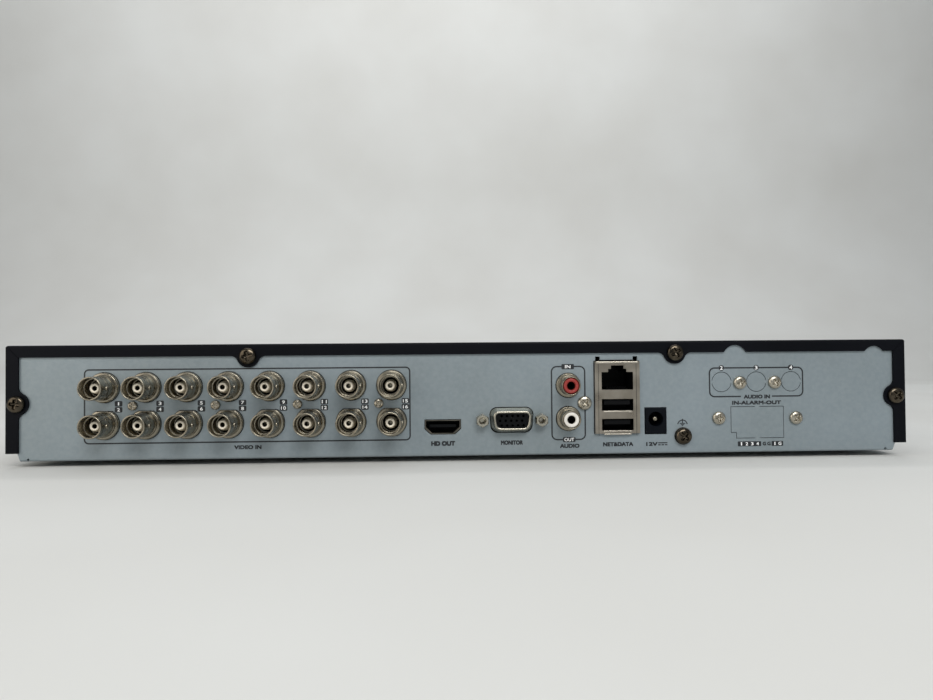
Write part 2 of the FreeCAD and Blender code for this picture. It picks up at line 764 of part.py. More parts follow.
def make_feet():
    """Four round rubber feet, each with a dish below and a plug through the floor."""
    feet = []
    for x, y in foot_places():
        profile = [(0, foot_dish), (foot_recess / 2 - 1, foot_dish), (foot_recess / 2, 0),
                   (foot_diameter / 2 - 1.2, 0), (foot_diameter / 2 - 0.4, 0.5),
                   (foot_diameter / 2, feet_height),
                   (foot_plug / 2, feet_height), (foot_plug / 2, floor_z), (foot_plug / 2 + 0.6, floor_z),
                   (foot_plug / 2 - 0.4, floor_z + 2), (0, floor_z + 2)]
        corners = [vec(x + radius, y, z) for radius, z in profile]
        face = Part.Face(Part.makePolygon(corners + corners[:1]))
        feet.append(face.revolve(vec(x, y, 0), Z_AXIS, 360))
    return group(feet)


# ---- camera sockets ------------------------------------------------------------------------
def make_bnc_block(index):
    """The moulded housing that carries four camera sockets behind the panel."""
    right = bnc_first_x - 2 * index * bnc_pitch_x
    x0, x1 = right - bnc_pitch_x - block_side, right + block_side
    z0 = board_top
    z1 = base_z + bnc_low_row + bnc_pitch_z + block_side
    body = block(x0, x1, panel_in_y - block_depth, panel_in_y, z0, z1)
    cuts = [rod_y(x, z, bnc_shank_diameter + 0.2, panel_in_y - block_depth + 3, panel_in_y + 1)
            for x, z in bnc_places()[4 * index:4 * index + 4]]
    cuts += [rod_y(x, z, small_thread, panel_in_y - 8, panel_in_y + 1)
             for x, z in block_screw_places()[index:index + 1]]
    cuts.append(block(x0 + 3, x1 - 3, panel_in_y - block_depth - 1, panel_in_y - block_depth + 2, z0 + 3,
                      z1 - 3))
    return cut(body, cuts)


def bnc_barrel(x, z):
    """One plated socket: base with a flat, barrel with two lugs, stepped bore."""
    tip = bnc_tip_y
    base_r, barrel_r = bnc_base_diameter / 2, bnc_barrel_diameter / 2
    shank_r = bnc_shank_diameter / 2
    mouth_r, inner_r = bnc_mouth_diameter / 2, bnc_inner_diameter / 2
    profile = [(0, panel_in_y - 6), (shank_r, panel_in_y - 6), (shank_r, panel_in_y), (base_r, panel_in_y),
               (base_r, panel_y + bnc_base_reach - 0.4), (base_r - 0.4, panel_y + bnc_base_reach),
               (barrel_r, panel_y + bnc_base_reach), (barrel_r, tip - 0.4), (barrel_r - 0.3, tip),
               (mouth_r, tip), (mouth_r, tip - bnc_mouth_depth), (inner_r, tip - bnc_mouth_depth),
               (inner_r, tip - bnc_inner_depth), (bnc_core_diameter / 2, tip - bnc_inner_depth),
               (bnc_core_diameter / 2, panel_in_y - 5), (0, panel_in_y - 5)]
    barrel = turned_y(profile, x, z)
    lug_y = tip - bnc_lug_drop
    lugs = [rod_x(lug_y, z, bnc_lug_diameter, x + inner_r + 0.2, x + bnc_lug_span / 2),
            rod_x(lug_y, z, bnc_lug_diameter, x - bnc_lug_span / 2, x - inner_r - 0.2)]
    flat = block(x - base_r, x + base_r, panel_in_y, panel_y + bnc_base_reach + 0.01, z + bnc_flat,
                 z + base_r + 1)
    if lower_row(z):
        barrel = barrel.cut(flat)
    return union([barrel] + lugs)


def make_bnc_barrels(index):
    return group([bnc_barrel(x, z) for x, z in bnc_places()[4 * index:4 * index + 4]])


def make_bnc_insulators():
    """The white cores inside the camera sockets."""
    face = bnc_tip_y - bnc_core_drop
    cores = []
    for x, z in bnc_places():
        core = rod_y(x, z, bnc_core_diameter, panel_in_y - 5, face)
        cores.append(core.cut(rod_y(x, z, bnc_pin_hole, face - 6, face + 1)))
    return group(cores)


def make_bnc_contacts():
    """The sprung centre contact tube in each core."""
    face = bnc_tip_y - bnc_core_drop
    contacts = []
    for x, z in bnc_places():
        tube = rod_y(x, z, bnc_pin_hole, face - 6, face - bnc_contact_drop)
        contacts.append(tube.cut(rod_y(x, z, bnc_pin_hole - 0.7, face - 4.5, face)))
    return group(contacts)


def make_block_screws():
    return group([pan_screw(x, z, panel_y, block_screw_head, small_thread, small_screw_length)
                  for x, z in block_screw_places()])


# ---- digital video and monitor sockets -----------------------------------------------------
def make_hd_shell():
    outer = prism_y(hd_outline(0), panel_y - hd_depth, panel_y + 0.3)
    inner = prism_y(hd_outline(-hd_wall), panel_y - hd_depth + 1, panel_y + 1)
    foot_z = base_z + hd_height - hd_tall / 2
    feet = [block(hd_x + side * 5 - 1, hd_x + side * 5 + 1, panel_y - hd_depth + 2, panel_y - hd_depth + 4,
                  board_top, foot_z + 0.3) for side in (-0.9, 0.9)]
    return union([outer.cut(inner)] + feet)


def make_hd_tongue():
    """The black tongue that carries the contacts."""
    z = base_z + hd_height + 0.35
    back = panel_y - hd_depth + 1
    root = prism_y(hd_outline(-hd_wall), back, back + 2)
    tongue = block(hd_x - 5.6, hd_x + 5.6, back + 1, panel_y - 1.2, z - 0.6, z + 0.6)
    return union([root, tongue])


def monitor_ring(grow, y):
    """The wire of the D at one depth."""
    faces = monitor_outline(grow, y, y + 1).Faces
    return [face for face in faces if abs(face.CenterOfMass.y - y) < 0.01][0].OuterWire


def make_monitor_shell():
    """The plated D shell that stands out of the panel, with its flange behind."""
    shell = monitor_outline(0, panel_in_y - 1, panel_y + vga_reach)
    lip = [edge for edge in shell.Edges if abs(edge.CenterOfMass.y - panel_y - vga_reach) < 0.01]
    rings = [monitor_ring(grow, panel_y + reach) for reach, grow in vga_flare]
    root = monitor_outline(vga_flare[0][1], panel_in_y - 0.5, panel_y)
    shell = union([shell.makeFillet(0.5, lip), Part.makeLoft(rings, True, True), root])
    plate = rounded_plate(vga_x, base_z + vga_height, 31.0, 12.4, 1.5, panel_in_y - 1, panel_in_y)
    hollow = monitor_outline(-0.55, panel_in_y - 2, panel_y + vga_reach + 1)
    holes = [rod_y(vga_x + side * vga_screw_spacing / 2, base_z + vga_height, vga_thread + 0.7,
                   panel_in_y - 2, panel_in_y + 1) for side in (-1, 1)]
    return cut(union([shell, plate]), [hollow] + holes)


def monitor_pin_places():
    places = []
    for row, shift in ((1, 0.0), (0, vga_pin_pitch / 2), (-1, 0.0)):
        for index in range(5):
            x = vga_x + (index - 2) * vga_pin_pitch + shift * 0.5
            places.append((x, base_z + vga_height + row * vga_row_pitch))
    return places


def make_monitor_insert():
    """The black face with fifteen contact holes, and the block behind it."""
    face_y = panel_y + vga_reach - 0.5
    plug = monitor_outline(-0.6, panel_in_y - 1, face_y)
    core = monitor_outline(-2.0, panel_in_y, face_y + 0.3)
    rear = block(vga_x - 13.5, vga_x + 13.5, panel_in_y - 11, panel_in_y - 1, board_top,
                 base_z + vga_height + 5.5)
    holes = [rod_y(x, z, 1.1, face_y - 4, face_y + 1) for x, z in monitor_pin_places()]
    nut_room = [rod_y(vga_x + side * vga_screw_spacing / 2, base_z + vga_height, vga_thread + 1.0,
                      panel_in_y - 8, panel_in_y) for side in (-1, 1)]
    return cut(union([plug, core, rear]), holes + nut_room)


def make_jack_nuts():
    """Two hexagon pillars with a thread for the monitor lead's screws."""
    nuts = []
    z = base_z + vga_height
    radius = vga_nut_flats / 2 / math.cos(math.pi / 6)
    for side in (-1, 1):
        x = vga_x + side * vga_screw_spacing / 2
        hexagon = [(x + radius * math.cos(math.radians(60 * k)), z + radius * math.sin(math.radians(60 * k)))
                   for k in range(6)]
        pillar = prism_y(hexagon, panel_y, panel_y + vga_nut_reach)
        crown = Part.makeCone(radius + 2.3, radius - 0.35, 2.65, vec(x, panel_y + vga_nut_reach - 2.65, z),
                              Y_AXIS)
        low = rod_y(x, z, 2 * radius + 1, panel_y, panel_y + vga_nut_reach - 2.65)
        pillar = pillar.common(union([crown, low]))
        stud = rod_y(x, z, vga_thread + 0.5, panel_in_y - 7, panel_y + 0.5)
        bore = rod_y(x, z, vga_thread, panel_y - 0.5, panel_y + vga_nut_reach + 1)
        nuts.append(union([pillar, stud]).cut(bore))
    return group(nuts)


# ---- audio sockets -------------------------------------------------------------------------
def make_audio_body():
    """The moulded block behind the panel that holds both audio sockets."""
    z1 = base_z + max(audio_heights) + 6.5
    body = block(audio_x - 5.4, audio_x + 5.4, panel_in_y - 10, panel_in_y, board_top, z1)
    ear = block(audio_screw_x - 3, audio_x, panel_in_y - 6, panel_in_y,
                base_z + audio_screw_height - 3, base_z + audio_screw_height + 3)
    cuts = [rod_y(audio_x, base_z + height, audio_sleeve_diameter, panel_in_y - 8, panel_in_y + 1)
            for height in audio_heights]
    cuts.append(rod_y(audio_screw_x, base_z + audio_screw_height, small_thread, panel_in_y - 5.5,
                      panel_in_y + 1))
    return cut(union([body, ear]), cuts)


def make_audio_sleeves():
    """The plated outer sleeves, each with a round base on the panel."""
    sleeves = []
    tip = panel_y + audio_reach
    base_r, outer_r, inner_r = audio_base_diameter / 2, audio_sleeve_diameter / 2, audio_ring_diameter / 2
    for height in audio_heights:
        profile = [(inner_r, panel_in_y - 8), (outer_r, panel_in_y - 8), (outer_r, panel_in_y),
                   (base_r, panel_in_y), (base_r, panel_y + 0.9), (base_r - 0.3, panel_y + 1.2),
                   (outer_r, panel_y + 1.2), (outer_r, tip - 0.4), (outer_r - 0.4, tip), (inner_r, tip)]
        sleeves.append(turned_y(profile, audio_x, base_z + height))
    return group(sleeves)


def make_audio_ring(height):
    """The coloured insulator inside one sleeve, with the hole for the plug's pin."""
    tip = panel_y + audio_reach - 0.4
    ring = rod_y(audio_x, base_z + height, audio_ring_diameter, panel_in_y - 8, tip)
    return ring.cut(rod_y(audio_x, base_z + height, audio_hole, tip - audio_hole_depth, tip + 1))


# ---- network and data sockets --------------------------------------------------------------
def network_opening(y0, y1):
    z = base_z + net_height
    pieces = [block(stack_x - net_width / 2, stack_x + net_width / 2, y0, y1, z - net_tall / 2,
                    z + net_tall / 2)]
    top = z + net_tall / 2
    for wide, rise in net_steps:
        pieces.append(block(stack_x - wide / 2, stack_x + wide / 2, y0, y1, top - 0.5, top + rise))
        top += rise
    return union(pieces)


def usb_opening(height, y0, y1):
    return block(stack_x - usb_width / 2, stack_x + usb_width / 2, y0, y1,
                 base_z + height - usb_tall / 2, base_z + height + usb_tall / 2)


def make_stack_shield():
    """The folded plated can round one network and two data sockets, with sprung lips."""
    y0, y1 = panel_y - stack_depth, panel_y + stack_reach
    outer = stack_outline(0, y0, y1)
    inner = stack_outline(-stack_wall, y0 + stack_wall, y1 - stack_wall)
    front = [network_opening(y1 - 2, y1 + 1)] + [usb_opening(height, y1 - 2, y1 + 1)
                                                 for height in usb_heights]
    lips = []
    for height in usb_heights:
        z = base_z + height - usb_tall / 2 - 0.9
        lips.append(block(stack_x - 4.6, stack_x + 4.6, y1 - 0.3, y1 + 0.25, z - 0.45, z + 0.45))
    legs = [block(stack_x + side * (stack_width / 2 - 0.6) - 0.25,
                  stack_x + side * (stack_width / 2 - 0.6) + 0.25,
                  y0 + 4, y0 + 7, board_top, base_z + stack_bottom + 0.3) for side in (-1, 1)]
    return cut(union([outer] + lips + legs), [inner] + front)


def make_network_insert():
    """The black moulding that fills the can: it forms the three sockets' walls."""
    y0, y1 = panel_y - stack_depth + stack_wall, panel_y + stack_reach - stack_wall
    core = stack_outline(-stack_wall, y0, y1)
    cuts = [network_opening(y1 - 14, y1 + 1)]
    cuts += [usb_opening(height, y1 - usb_depth, y1 + 1) for height in usb_heights]
    comb = [block(stack_x - 4.5 + 1.1 * k, stack_x - 4.05 + 1.1 * k, y1 - 12, y1 - 3,
                  base_z + net_height - net_tall / 2 - 0.3, base_z + net_height - net_tall / 2 + 1.1)
            for k in range(8)]
    return union([core.cut(Part.Compound(cuts))] + comb)


def make_usb_tongues():
    """The flat tongues in the two data sockets."""
    y1 = panel_y + stack_reach - stack_wall
    tongues = []
    for height in usb_heights:
        z = base_z + height + 0.9
        tongues.append(block(stack_x - 5.6, stack_x + 5.6, y1 - usb_depth, y1 - 0.6, z - 0.9, z + 0.9))
    return group(tongues)


# ---- power socket, ground screw, blank screws ----------------------------------------------
def make_power_body():
    y0, y1 = panel_y - dc_depth, panel_y + dc_reach
    body = block(dc_x - dc_width / 2, dc_x + dc_width / 2, y0, y1, base_z + dc_bottom,
                 base_z + dc_bottom + dc_tall)
    rim = [edge for edge in body.Edges if abs(edge.CenterOfMass.y - y1) < 0.01]
    body = body.makeFillet(0.4, rim)
    foot = block(dc_x - 3.5, dc_x + 3.5, y0, y0 + 6, board_top, base_z + dc_bottom + 0.5)
    bore = rod_y(dc_x, base_z + dc_hole_height, dc_hole, y1 - 9.5, y1 + 1)
    return union([body, foot]).cut(bore)


def make_power_pin():
    y1 = panel_y + dc_reach
    pin = rod_y(dc_x, base_z + dc_hole_height, dc_pin, y1 - 9.5, y1 - 0.8)
    return pin.makeFillet(0.5, [edge for edge in pin.Edges if abs(edge.CenterOfMass.y - y1 + 0.8) < 0.01])


def make_ground_screw():
    return pan_screw(ground_x, base_z + ground_height, panel_y + washer_thick, ground_head,
                     cover_screw_thread, cover_screw_length)


def make_ground_washer():
    z = base_z + ground_height
    ring = rod_y(ground_x, z, ground_washer_diameter, panel_y, panel_y + washer_thick)
    return ring.cut(rod_y(ground_x, z, cover_screw_thread + 0.4, panel_y - 1, panel_y + 2))


def make_blank_screws():
    return group([pan_screw(x, base_z + height, panel_y, blank_screw_head, small_thread, 3.5)
                  for x, height in blank_screws_at])


def make_cover_screws():
    return group([pan_screw(x, z, flange_y, cover_screw_head, cover_screw_thread - 0.1, cover_screw_length)
                  for x, z in cover_screw_places()])


def make_bezel_screws():
    """Screws from inside the front wall into the bezel's bosses."""
    screws = []
    for x, z in bezel_screw_places():
        screws.append(pan_screw(x, z, wall_in_y, 5.0, small_thread, 6.5))
    return group(screws)


# ---- mainboard and what it carries ---------------------------------------------------------
def make_mainboard():
    """The printed board, with its fixing holes and a cut corner."""
    plate = block(board_left, board_right, board_front, board_rear, board_z, board_top)
    holes = [rod_z(x, y, small_thread + 2 * panel_hole_gap, board_z - 1, board_top + 1)
             for x, y in board_screw_places()]
    corner = block(board_left - 1, board_left + 16, board_front - 1, board_front + 0.01, board_z - 1,
                   board_top + 1)
    return cut(plate, holes + [corner])


def make_processor():
    half = chip_side / 2
    return block(processor_x - half, processor_x + half, processor_y - half, processor_y + half,
                 board_top, board_top + chip_tall)


def make_heatsink():
    """A black finned block bonded to the processor."""
    half = heatsink_side / 2
    z0 = board_top + chip_tall
    base = block(processor_x - half, processor_x + half, processor_y - half, processor_y + half, z0, z0 + 3)
    pitch = (heatsink_side - 1.4) / (heatsink_fins - 1)
    fins = [block(processor_x - half + k * pitch, processor_x - half + k * pitch + 1.4,
                  processor_y - half, processor_y + half, z0 + 2, z0 + heatsink_tall)
            for k in range(heatsink_fins)]
    return union([base] + fins)


def make_board_chips():
    """Four memory chips by the processor and one video chip behind each camera block."""
    chips = []
    for dx, dy in ((-32, 12), (-32, -12), (32, 12), (32, -12)):
        x, y = processor_x + dx, processor_y + dy
        chips.append(block(x - 5.5, x + 5.5, y - 7, y + 7, board_top, board_top + 1.2))
    for index in range(bnc_columns // 2):
        x = bnc_first_x - bnc_pitch_x / 2 - 2 * index * bnc_pitch_x
        y = board_rear - block_depth - 26
        chips.append(block(x - 8, x + 8, y - 8, y + 8, board_top, board_top + 1.4))
    return group(chips)


def make_power_parts():
    """The supply's coils and capacitors behind the power socket."""
    solids = []
    for index in range(3):
        x = board_left + 12 + 15 * index
        y = board_rear - 34
        coil = block(x - 6, x + 6, y - 6, y + 6, board_top, board_top + 6)
        corners = [edge for edge in coil.Edges if abs(edge.tangentAt(edge.FirstParameter).z) > 0.99]
        solids.append(coil.makeFillet(2.0, corners))
    for index in range(4):
        x = board_left + 9 + 12 * index
        solids.append(capacitor(x, board_rear - 52, 8.0, 11.5))
    return group(solids)


def capacitor(x, y, diameter, tall):
    """An upright can with a beaded foot."""
    r = diameter / 2
    profile = [(0, 0), (r, 0), (r, 0.9), (r - 0.5, 1.5), (r, 2.1), (r, tall - 0.5), (r - 0.5, tall),
               (0, tall)]
    corners = [vec(x + radius, y, board_top + z) for radius, z in profile]
    face = Part.Face(Part.makePolygon(corners + corners[:1]))
    return face.revolve(vec(x, y, 0), Z_AXIS, 360)


def make_clock_battery():
    """A coin cell in its holder."""
    x, y = 92.0, board_front + 22
    holder = rod_z(x, y, 22.6, board_top, board_top + 3.0)
    cell = rod_z(x, y, 20.0, board_top + 1.0, board_top + 4.4)
    return union([holder, cell])


def make_headers():
    """Board headers: drive data and drive power at the front edge, the ribbon's upright one."""
    y0, y1 = board_front + 1, board_front + 9
    data = block(data_lead_x - 7, data_lead_x + 7, y0, y1, board_top, board_top + 8)
    power = block(power_lead_x - 7, power_lead_x + 7, y0, y1, board_top, board_top + 8)
    ribbon = block(ribbon_x - ribbon_width / 2 - 2, ribbon_x + ribbon_width / 2 + 2,
                   ribbon_header_y - 3, ribbon_header_y + 3, board_top, board_top + 6)
    return group([data, power, ribbon])


def make_buzzer():
    x, y = 128.0, board_front + 22
    return rod_z(x, y, 12.0, board_top, board_top + 8.5).cut(rod_z(x, y, 2.0, board_top + 6, board_top + 10))


def make_board_screws():
    return group([screw_down(x, y, board_top, 5.0, small_thread, board_standoff) for x,
                  y in board_screw_places()])


# ---- hard disk -----------------------------------------------------------------------------
def make_drive_base():
    """The cast tray: a round well for the platters, an open end for the arm, a board recess below."""
    body = block(drive_left, drive_right, drive_front, drive_rear, drive_z, drive_top - 1.2)
    uprights = [edge for edge in body.Edges if abs(edge.tangentAt(edge.FirstParameter).z) > 0.99]
    body = body.makeFillet(2.5, uprights)
    well = rod_z(spindle_x, spindle_y, platter_diameter + 2 * 1.2, well_z, drive_top)
    arm_room = block(drive_left + 4, spindle_x - 20, drive_front + 4, drive_rear - 4, well_z, drive_top)
    under = block(drive_left - 1, drive_left + 96, drive_front + 10, drive_rear - 10, drive_z - 1,
                  drive_z + 3.2)
    shell = cut(body, [well, arm_room, under])
    spindle = rod_z(spindle_x, spindle_y, spindle_diameter, well_z - 1, drive_top - 2.2)
    pivot = rod_z(pivot_x, pivot_y, arm_pivot_diameter, well_z - 1, drive_top - 2.2)
    magnet = block(pivot_x - 26, pivot_x, drive_front + 7, drive_front + 22, well_z - 1, well_z + 3)
    shell = union([shell, spindle, pivot, magnet])
    holes = [rod_z(x, y, 3.2, drive_z - 1, drive_z + 5) for x, y in bay_hole_places(drive_left)]
    return cut(shell, holes)


def make_drive_lid():
    """The stamped lid, with a raised panel and six screw dimples."""
    lid = block(drive_left + 0.5, drive_right - 0.5, drive_front + 0.5, drive_rear - 0.5, drive_top - 1.2,
                drive_top - 0.4)
    uprights = [edge for edge in lid.Edges if abs(edge.tangentAt(edge.FirstParameter).z) > 0.99]
    lid = lid.makeFillet(2.2, uprights)
    raised = rod_z(spindle_x, spindle_y, 88.0, drive_top - 0.8, drive_top)
    heads = [rod_z(x, y, 4.6, drive_top - 0.8, drive_top - 0.1) for x in (drive_left + 5, drive_right - 5)
             for y in (drive_front + 5, drive_rear - 5)]
    return union([lid, raised] + heads)


def make_platters():
    """Two discs on one hub, clamped together: they turn on the spindle."""
    bore = spindle_diameter + 2 * pin_gap
    hub = rod_z(spindle_x, spindle_y, platter_hub, well_z + 1.5, drive_top - 3.2)
    discs = [rod_z(spindle_x, spindle_y, platter_diameter, platter_low + k * platter_gap,
                   platter_low + k * platter_gap + platter_thick) for k in range(2)]
    marks = [rod_z(spindle_x + 8.2 * math.cos(a), spindle_y + 8.2 * math.sin(a), 2.0, drive_top - 4.2,
                   drive_top - 2)
             for a in [math.radians(120 * k) for k in range(3)]]
    return cut(union([hub] + discs), [rod_z(spindle_x, spindle_y, bore, well_z, drive_top)] + marks)


def make_actuator():
    """The head arm: a hub on its pivot, three blades towards the platters and a coil behind."""
    hub = rod_z(0, 0, 17.0, well_z + 0.8, drive_top - 3.2)
    blades = []
    for k in range(3):
        z0 = platter_low + (platter_gap + platter_thick - arm_blade) / 2 + (k - 1) * platter_gap
        blades.append(prism_z([(5, -6.0), (arm_reach, -2.2), (arm_reach, 2.2), (5, 6.0)], z0, z0 + arm_blade))
    coil = prism_z([(-6, -6), (-20, -11), (-24, 0), (-20, 11), (-6, 6)], well_z + 4.2, well_z + 7.2)
    arm = union([hub] + blades + [coil])
    arm = arm.cut(rod_z(0, 0, arm_pivot_diameter + 2 * pin_gap, well_z, drive_top))
    arm.rotate(vec(0, 0, 0), Z_AXIS, parked_angle)
    arm.translate(vec(pivot_x, pivot_y, 0))
    return arm


def make_drive_board():
    """The drive's own board in the recess, and its data and power tongues at the end."""
    board = block(drive_left + 3, drive_left + 94, drive_front + 11, drive_rear - 11, drive_z + 1.2,
                  drive_z + 2.8)
    tongues = block(drive_left - 1.0, drive_left + 5, data_lead_y - 7, power_lead_y + 7, drive_z + 1.4,
                    drive_z + 2.6)
    return union([board, tongues])


def make_drive_screws():
    """Screws from under the floor into the drive."""
    screws = []
    for x, y in bay_hole_places(drive_left):
        screw = pan_screw(0, 0, 0, 6.0, 3.1, 8.0)
        screw.rotate(vec(0, 0, 0), X_AXIS, -90)
        screw.translate(vec(x, y, base_z))
        screws.append(screw)
    return group(screws)


# ---- leads held inside ---------------------------------------------------------------------
def lead_run(y_start, x_end, y_end, wide, tall):
    """A flat lead from the drive's end towards -X, round one bend and on towards +Y."""
    x_start = drive_left - 1.0 - 5.0
    half = wide / 2
    z0, z1 = lead_z - tall / 2, lead_z + tall / 2
    first = block(x_end + bend_radius, x_start, y_start - half, y_start + half, z0, z1)
    second = block(x_end - half, x_end + half, y_start + bend_radius, y_end, z0, z1)
    section = [vec(x_end - half, y_start + bend_radius, z0), vec(x_end + half, y_start + bend_radius, z0),
               vec(x_end + half, y_start + bend_radius, z1), vec(x_end - half, y_start + bend_radius, z1)]
    face = Part.Face(Part.makePolygon(section + section[:1]))
    bend = face.revolve(vec(x_end + bend_radius, y_start + bend_radius, 0), Z_AXIS, 90)
    return union([first, bend, second])


def make_data_lead():
    """The drive's data lead with a plug at each end."""
    run = lead_run(data_lead_y, data_lead_x, board_front - 7, 1.8, 7.0)
    drive_plug = block(drive_left - 7, drive_left - 1.2, data_lead_y - 7, data_lead_y + 7, drive_z,
                       lead_z + 4)
    board_plug = block(data_lead_x - 6, data_lead_x + 6, board_front - 8, board_front + 1, lead_z - 3.6,
                       lead_z + 3.6)
    return union([run, drive_plug, board_plug])


def make_power_lead():
    """The drive's power lead: four wires side by side with a plug at each end."""
    runs = []
    for k in range(4):
        shift = (k - 1.5) * 1.9
        run = lead_run(power_lead_y, power_lead_x, board_front - 7, 1.5, 1.5)
        run.translate(vec(0, 0, shift))
        runs.append(run)
    drive_plug = block(drive_left - 7, drive_left - 1.2, power_lead_y - 10, power_lead_y + 10, drive_z,
                       lead_z + 4)
    board_plug = block(power_lead_x - 6, power_lead_x + 6, board_front - 8, board_front + 1,
                       lead_z - 3.8, lead_z + 3.8)
    return union(runs + [drive_plug, board_plug])


def make_ribbon():
    """The front board's ribbon: over the drive, then down to its header."""
    radius = 8.0
    x0, x1 = ribbon_x - ribbon_width / 2, ribbon_x + ribbon_width / 2
    z0, z1 = ribbon_z, ribbon_z + ribbon_thick
    flat = block(x0, x1, front_board_y + front_board_thick, ribbon_header_y - radius - ribbon_thick / 2, z0,
                 z1)
    y_bend = ribbon_header_y - radius - ribbon_thick / 2
    section = [vec(x0, y_bend, z0), vec(x1, y_bend, z0), vec(x1, y_bend, z1), vec(x0, y_bend, z1)]
    face = Part.Face(Part.makePolygon(section + section[:1]))
    bend = face.revolve(vec(0, y_bend, z0 - radius), X_AXIS, -90)
    drop = block(x0, x1, y_bend + radius, y_bend + radius + ribbon_thick, board_top + 9, z0 - radius)
    plug = block(x0 - 1, x1 + 1, ribbon_header_y - 2.2, ribbon_header_y + 2.2, board_top + 6, board_top + 10)
    return union([flat, bend, drop, plug])


# ---- fan -----------------------------------------------------------------------------------
def fan_corners():
    half = fan_hole_spacing / 2
    return [(dy, dz) for dy in (-half, half) for dz in (-half, half)]


def make_fan_frame():
    """A square frame with a round bore and a motor seat on four arms."""
    x0, x1 = -side_in_x, -side_in_x + fan_depth
    body = block(x0, x1, fan_y - fan_side / 2, fan_y + fan_side / 2, fan_z - fan_side / 2,
                 fan_z + fan_side / 2)
    corners = [edge for edge in body.Edges if abs(edge.tangentAt(edge.FirstParameter).x) > 0.99]
    body = body.makeFillet(3.0, corners)
    holes = [rod_x(fan_y, fan_z, fan_bore, x0 - 1, x1 + 1)]
    holes += [rod_x(fan_y + dy, fan_z + dz, small_thread, x0 - 1, x1 + 1) for dy, dz in fan_corners()]
    body = cut(body, holes)
    seat = rod_x(fan_y, fan_z, fan_hub, x1 - fan_wall, x1)
    arms = []
    for turn in (20, 110, 200, 290):
        arm = block(x1 - fan_wall, x1, fan_y - 1.2, fan_y + 1.2, fan_z, fan_z + fan_bore / 2 + 0.6)
        arm.rotate(vec(0, fan_y, fan_z), X_AXIS, turn)
        arms.append(arm)
    shaft = rod_x(fan_y, fan_z, fan_shaft, x0 + 2.2, x1 - fan_wall + 0.2)
    return union([body, seat, shaft] + arms)


def make_fan_rotor():
    """The hub cup and its pitched blades."""
    x0, x1 = -side_in_x + 0.8, -side_in_x + fan_depth - fan_wall - running_gap
    hub = rod_x(fan_y, fan_z, fan_hub, x0, x1)
    tip = fan_bore / 2 - running_gap
    blades = []
    for k in range(fan_blades):
        blade = block(x0 + 0.6, x1 - 0.4, fan_y - 0.5, fan_y + 0.5, fan_z + fan_hub / 2 - 1.0,
                      fan_z + tip - 0.4)
        blade.rotate(vec((x0 + x1) / 2, fan_y, fan_z), Z_AXIS, 38)
        blade.rotate(vec(0, fan_y, fan_z), X_AXIS, 360.0 * k / fan_blades)
        blades.append(blade)
    sweep = rod_x(fan_y, fan_z, 2 * tip, x0, x1)
    rotor = union([hub] + [blade.common(sweep) for blade in blades])
    return rotor.cut(rod_x(fan_y, fan_z, fan_shaft + 2 * pin_gap, x0 + 1.2, x1 + 1))


def make_fan_screws():
    """Screws from outside the chassis wall into the fan's corners, heads inside the cover's gap."""
    screws = []
    for dy, dz in fan_corners():
        screw = pan_screw(0, 0, 0, 4.4, small_thread, 7.0)
        screw.rotate(vec(0, 0, 0), Z_AXIS, -90)
        screw.translate(vec(-side_in_x + fan_depth, fan_y + dy, fan_z + dz))
        screws.append(screw)
    return group(screws)


# ---- front board ---------------------------------------------------------------------------
def make_front_board():
    """The long narrow board behind the bezel, with its infrared receiver."""
    x0, x1 = window_x - 56, front_usb_x + 10
    y0, y1 = front_board_y, front_board_y + front_board_thick
    low = block(x0, x1, y0, y1, window_z - 8, window_z + 16)
    neck = block(ribbon_x - ribbon_width / 2 - 3, ribbon_x + ribbon_width / 2 + 3, y0, y1,
                 window_z, ribbon_z + ribbon_thick + 2)
    receiver = rounded_plate(window_x + 45, window_z, 7.0, 8.0, 1.5, y0 - 4, y0)
    return union([low, neck, receiver])


def make_front_lights():
    """Three small domed lamps behind the window."""
    lamps = []
    for k in range(3):
        x = window_x - 44 + 14 * k
        lamp = rod_y(x, window_z, 3.0, front_board_y - 3.6, front_board_y)
        tip = [edge for edge in lamp.Edges if abs(edge.CenterOfMass.y - front_board_y + 3.6) < 0.01]
        lamps.append(lamp.makeFillet(1.2, tip))
    return group(lamps)


def make_front_usb():
    """The front data socket's shell with its tongue."""
    y0, y1 = front_y + 0.6, front_board_y
    half, tall = usb_width / 2 + 0.5, usb_tall / 2 + 0.5
    can = block(front_usb_x - half, front_usb_x + half, y0, y1, window_z - tall, window_z + tall)
    hollow = block(front_usb_x - half + 0.5, front_usb_x + half - 0.5, y0 - 1, y1 - 1, window_z - tall + 0.5,
                   window_z + tall - 0.5)
    tongue = block(front_usb_x - 5.6, front_usb_x + 5.6, y0 + 0.6, y1 - 0.5, window_z - 0.1, window_z + 1.7)
    return union([can.cut(hollow), tongue])


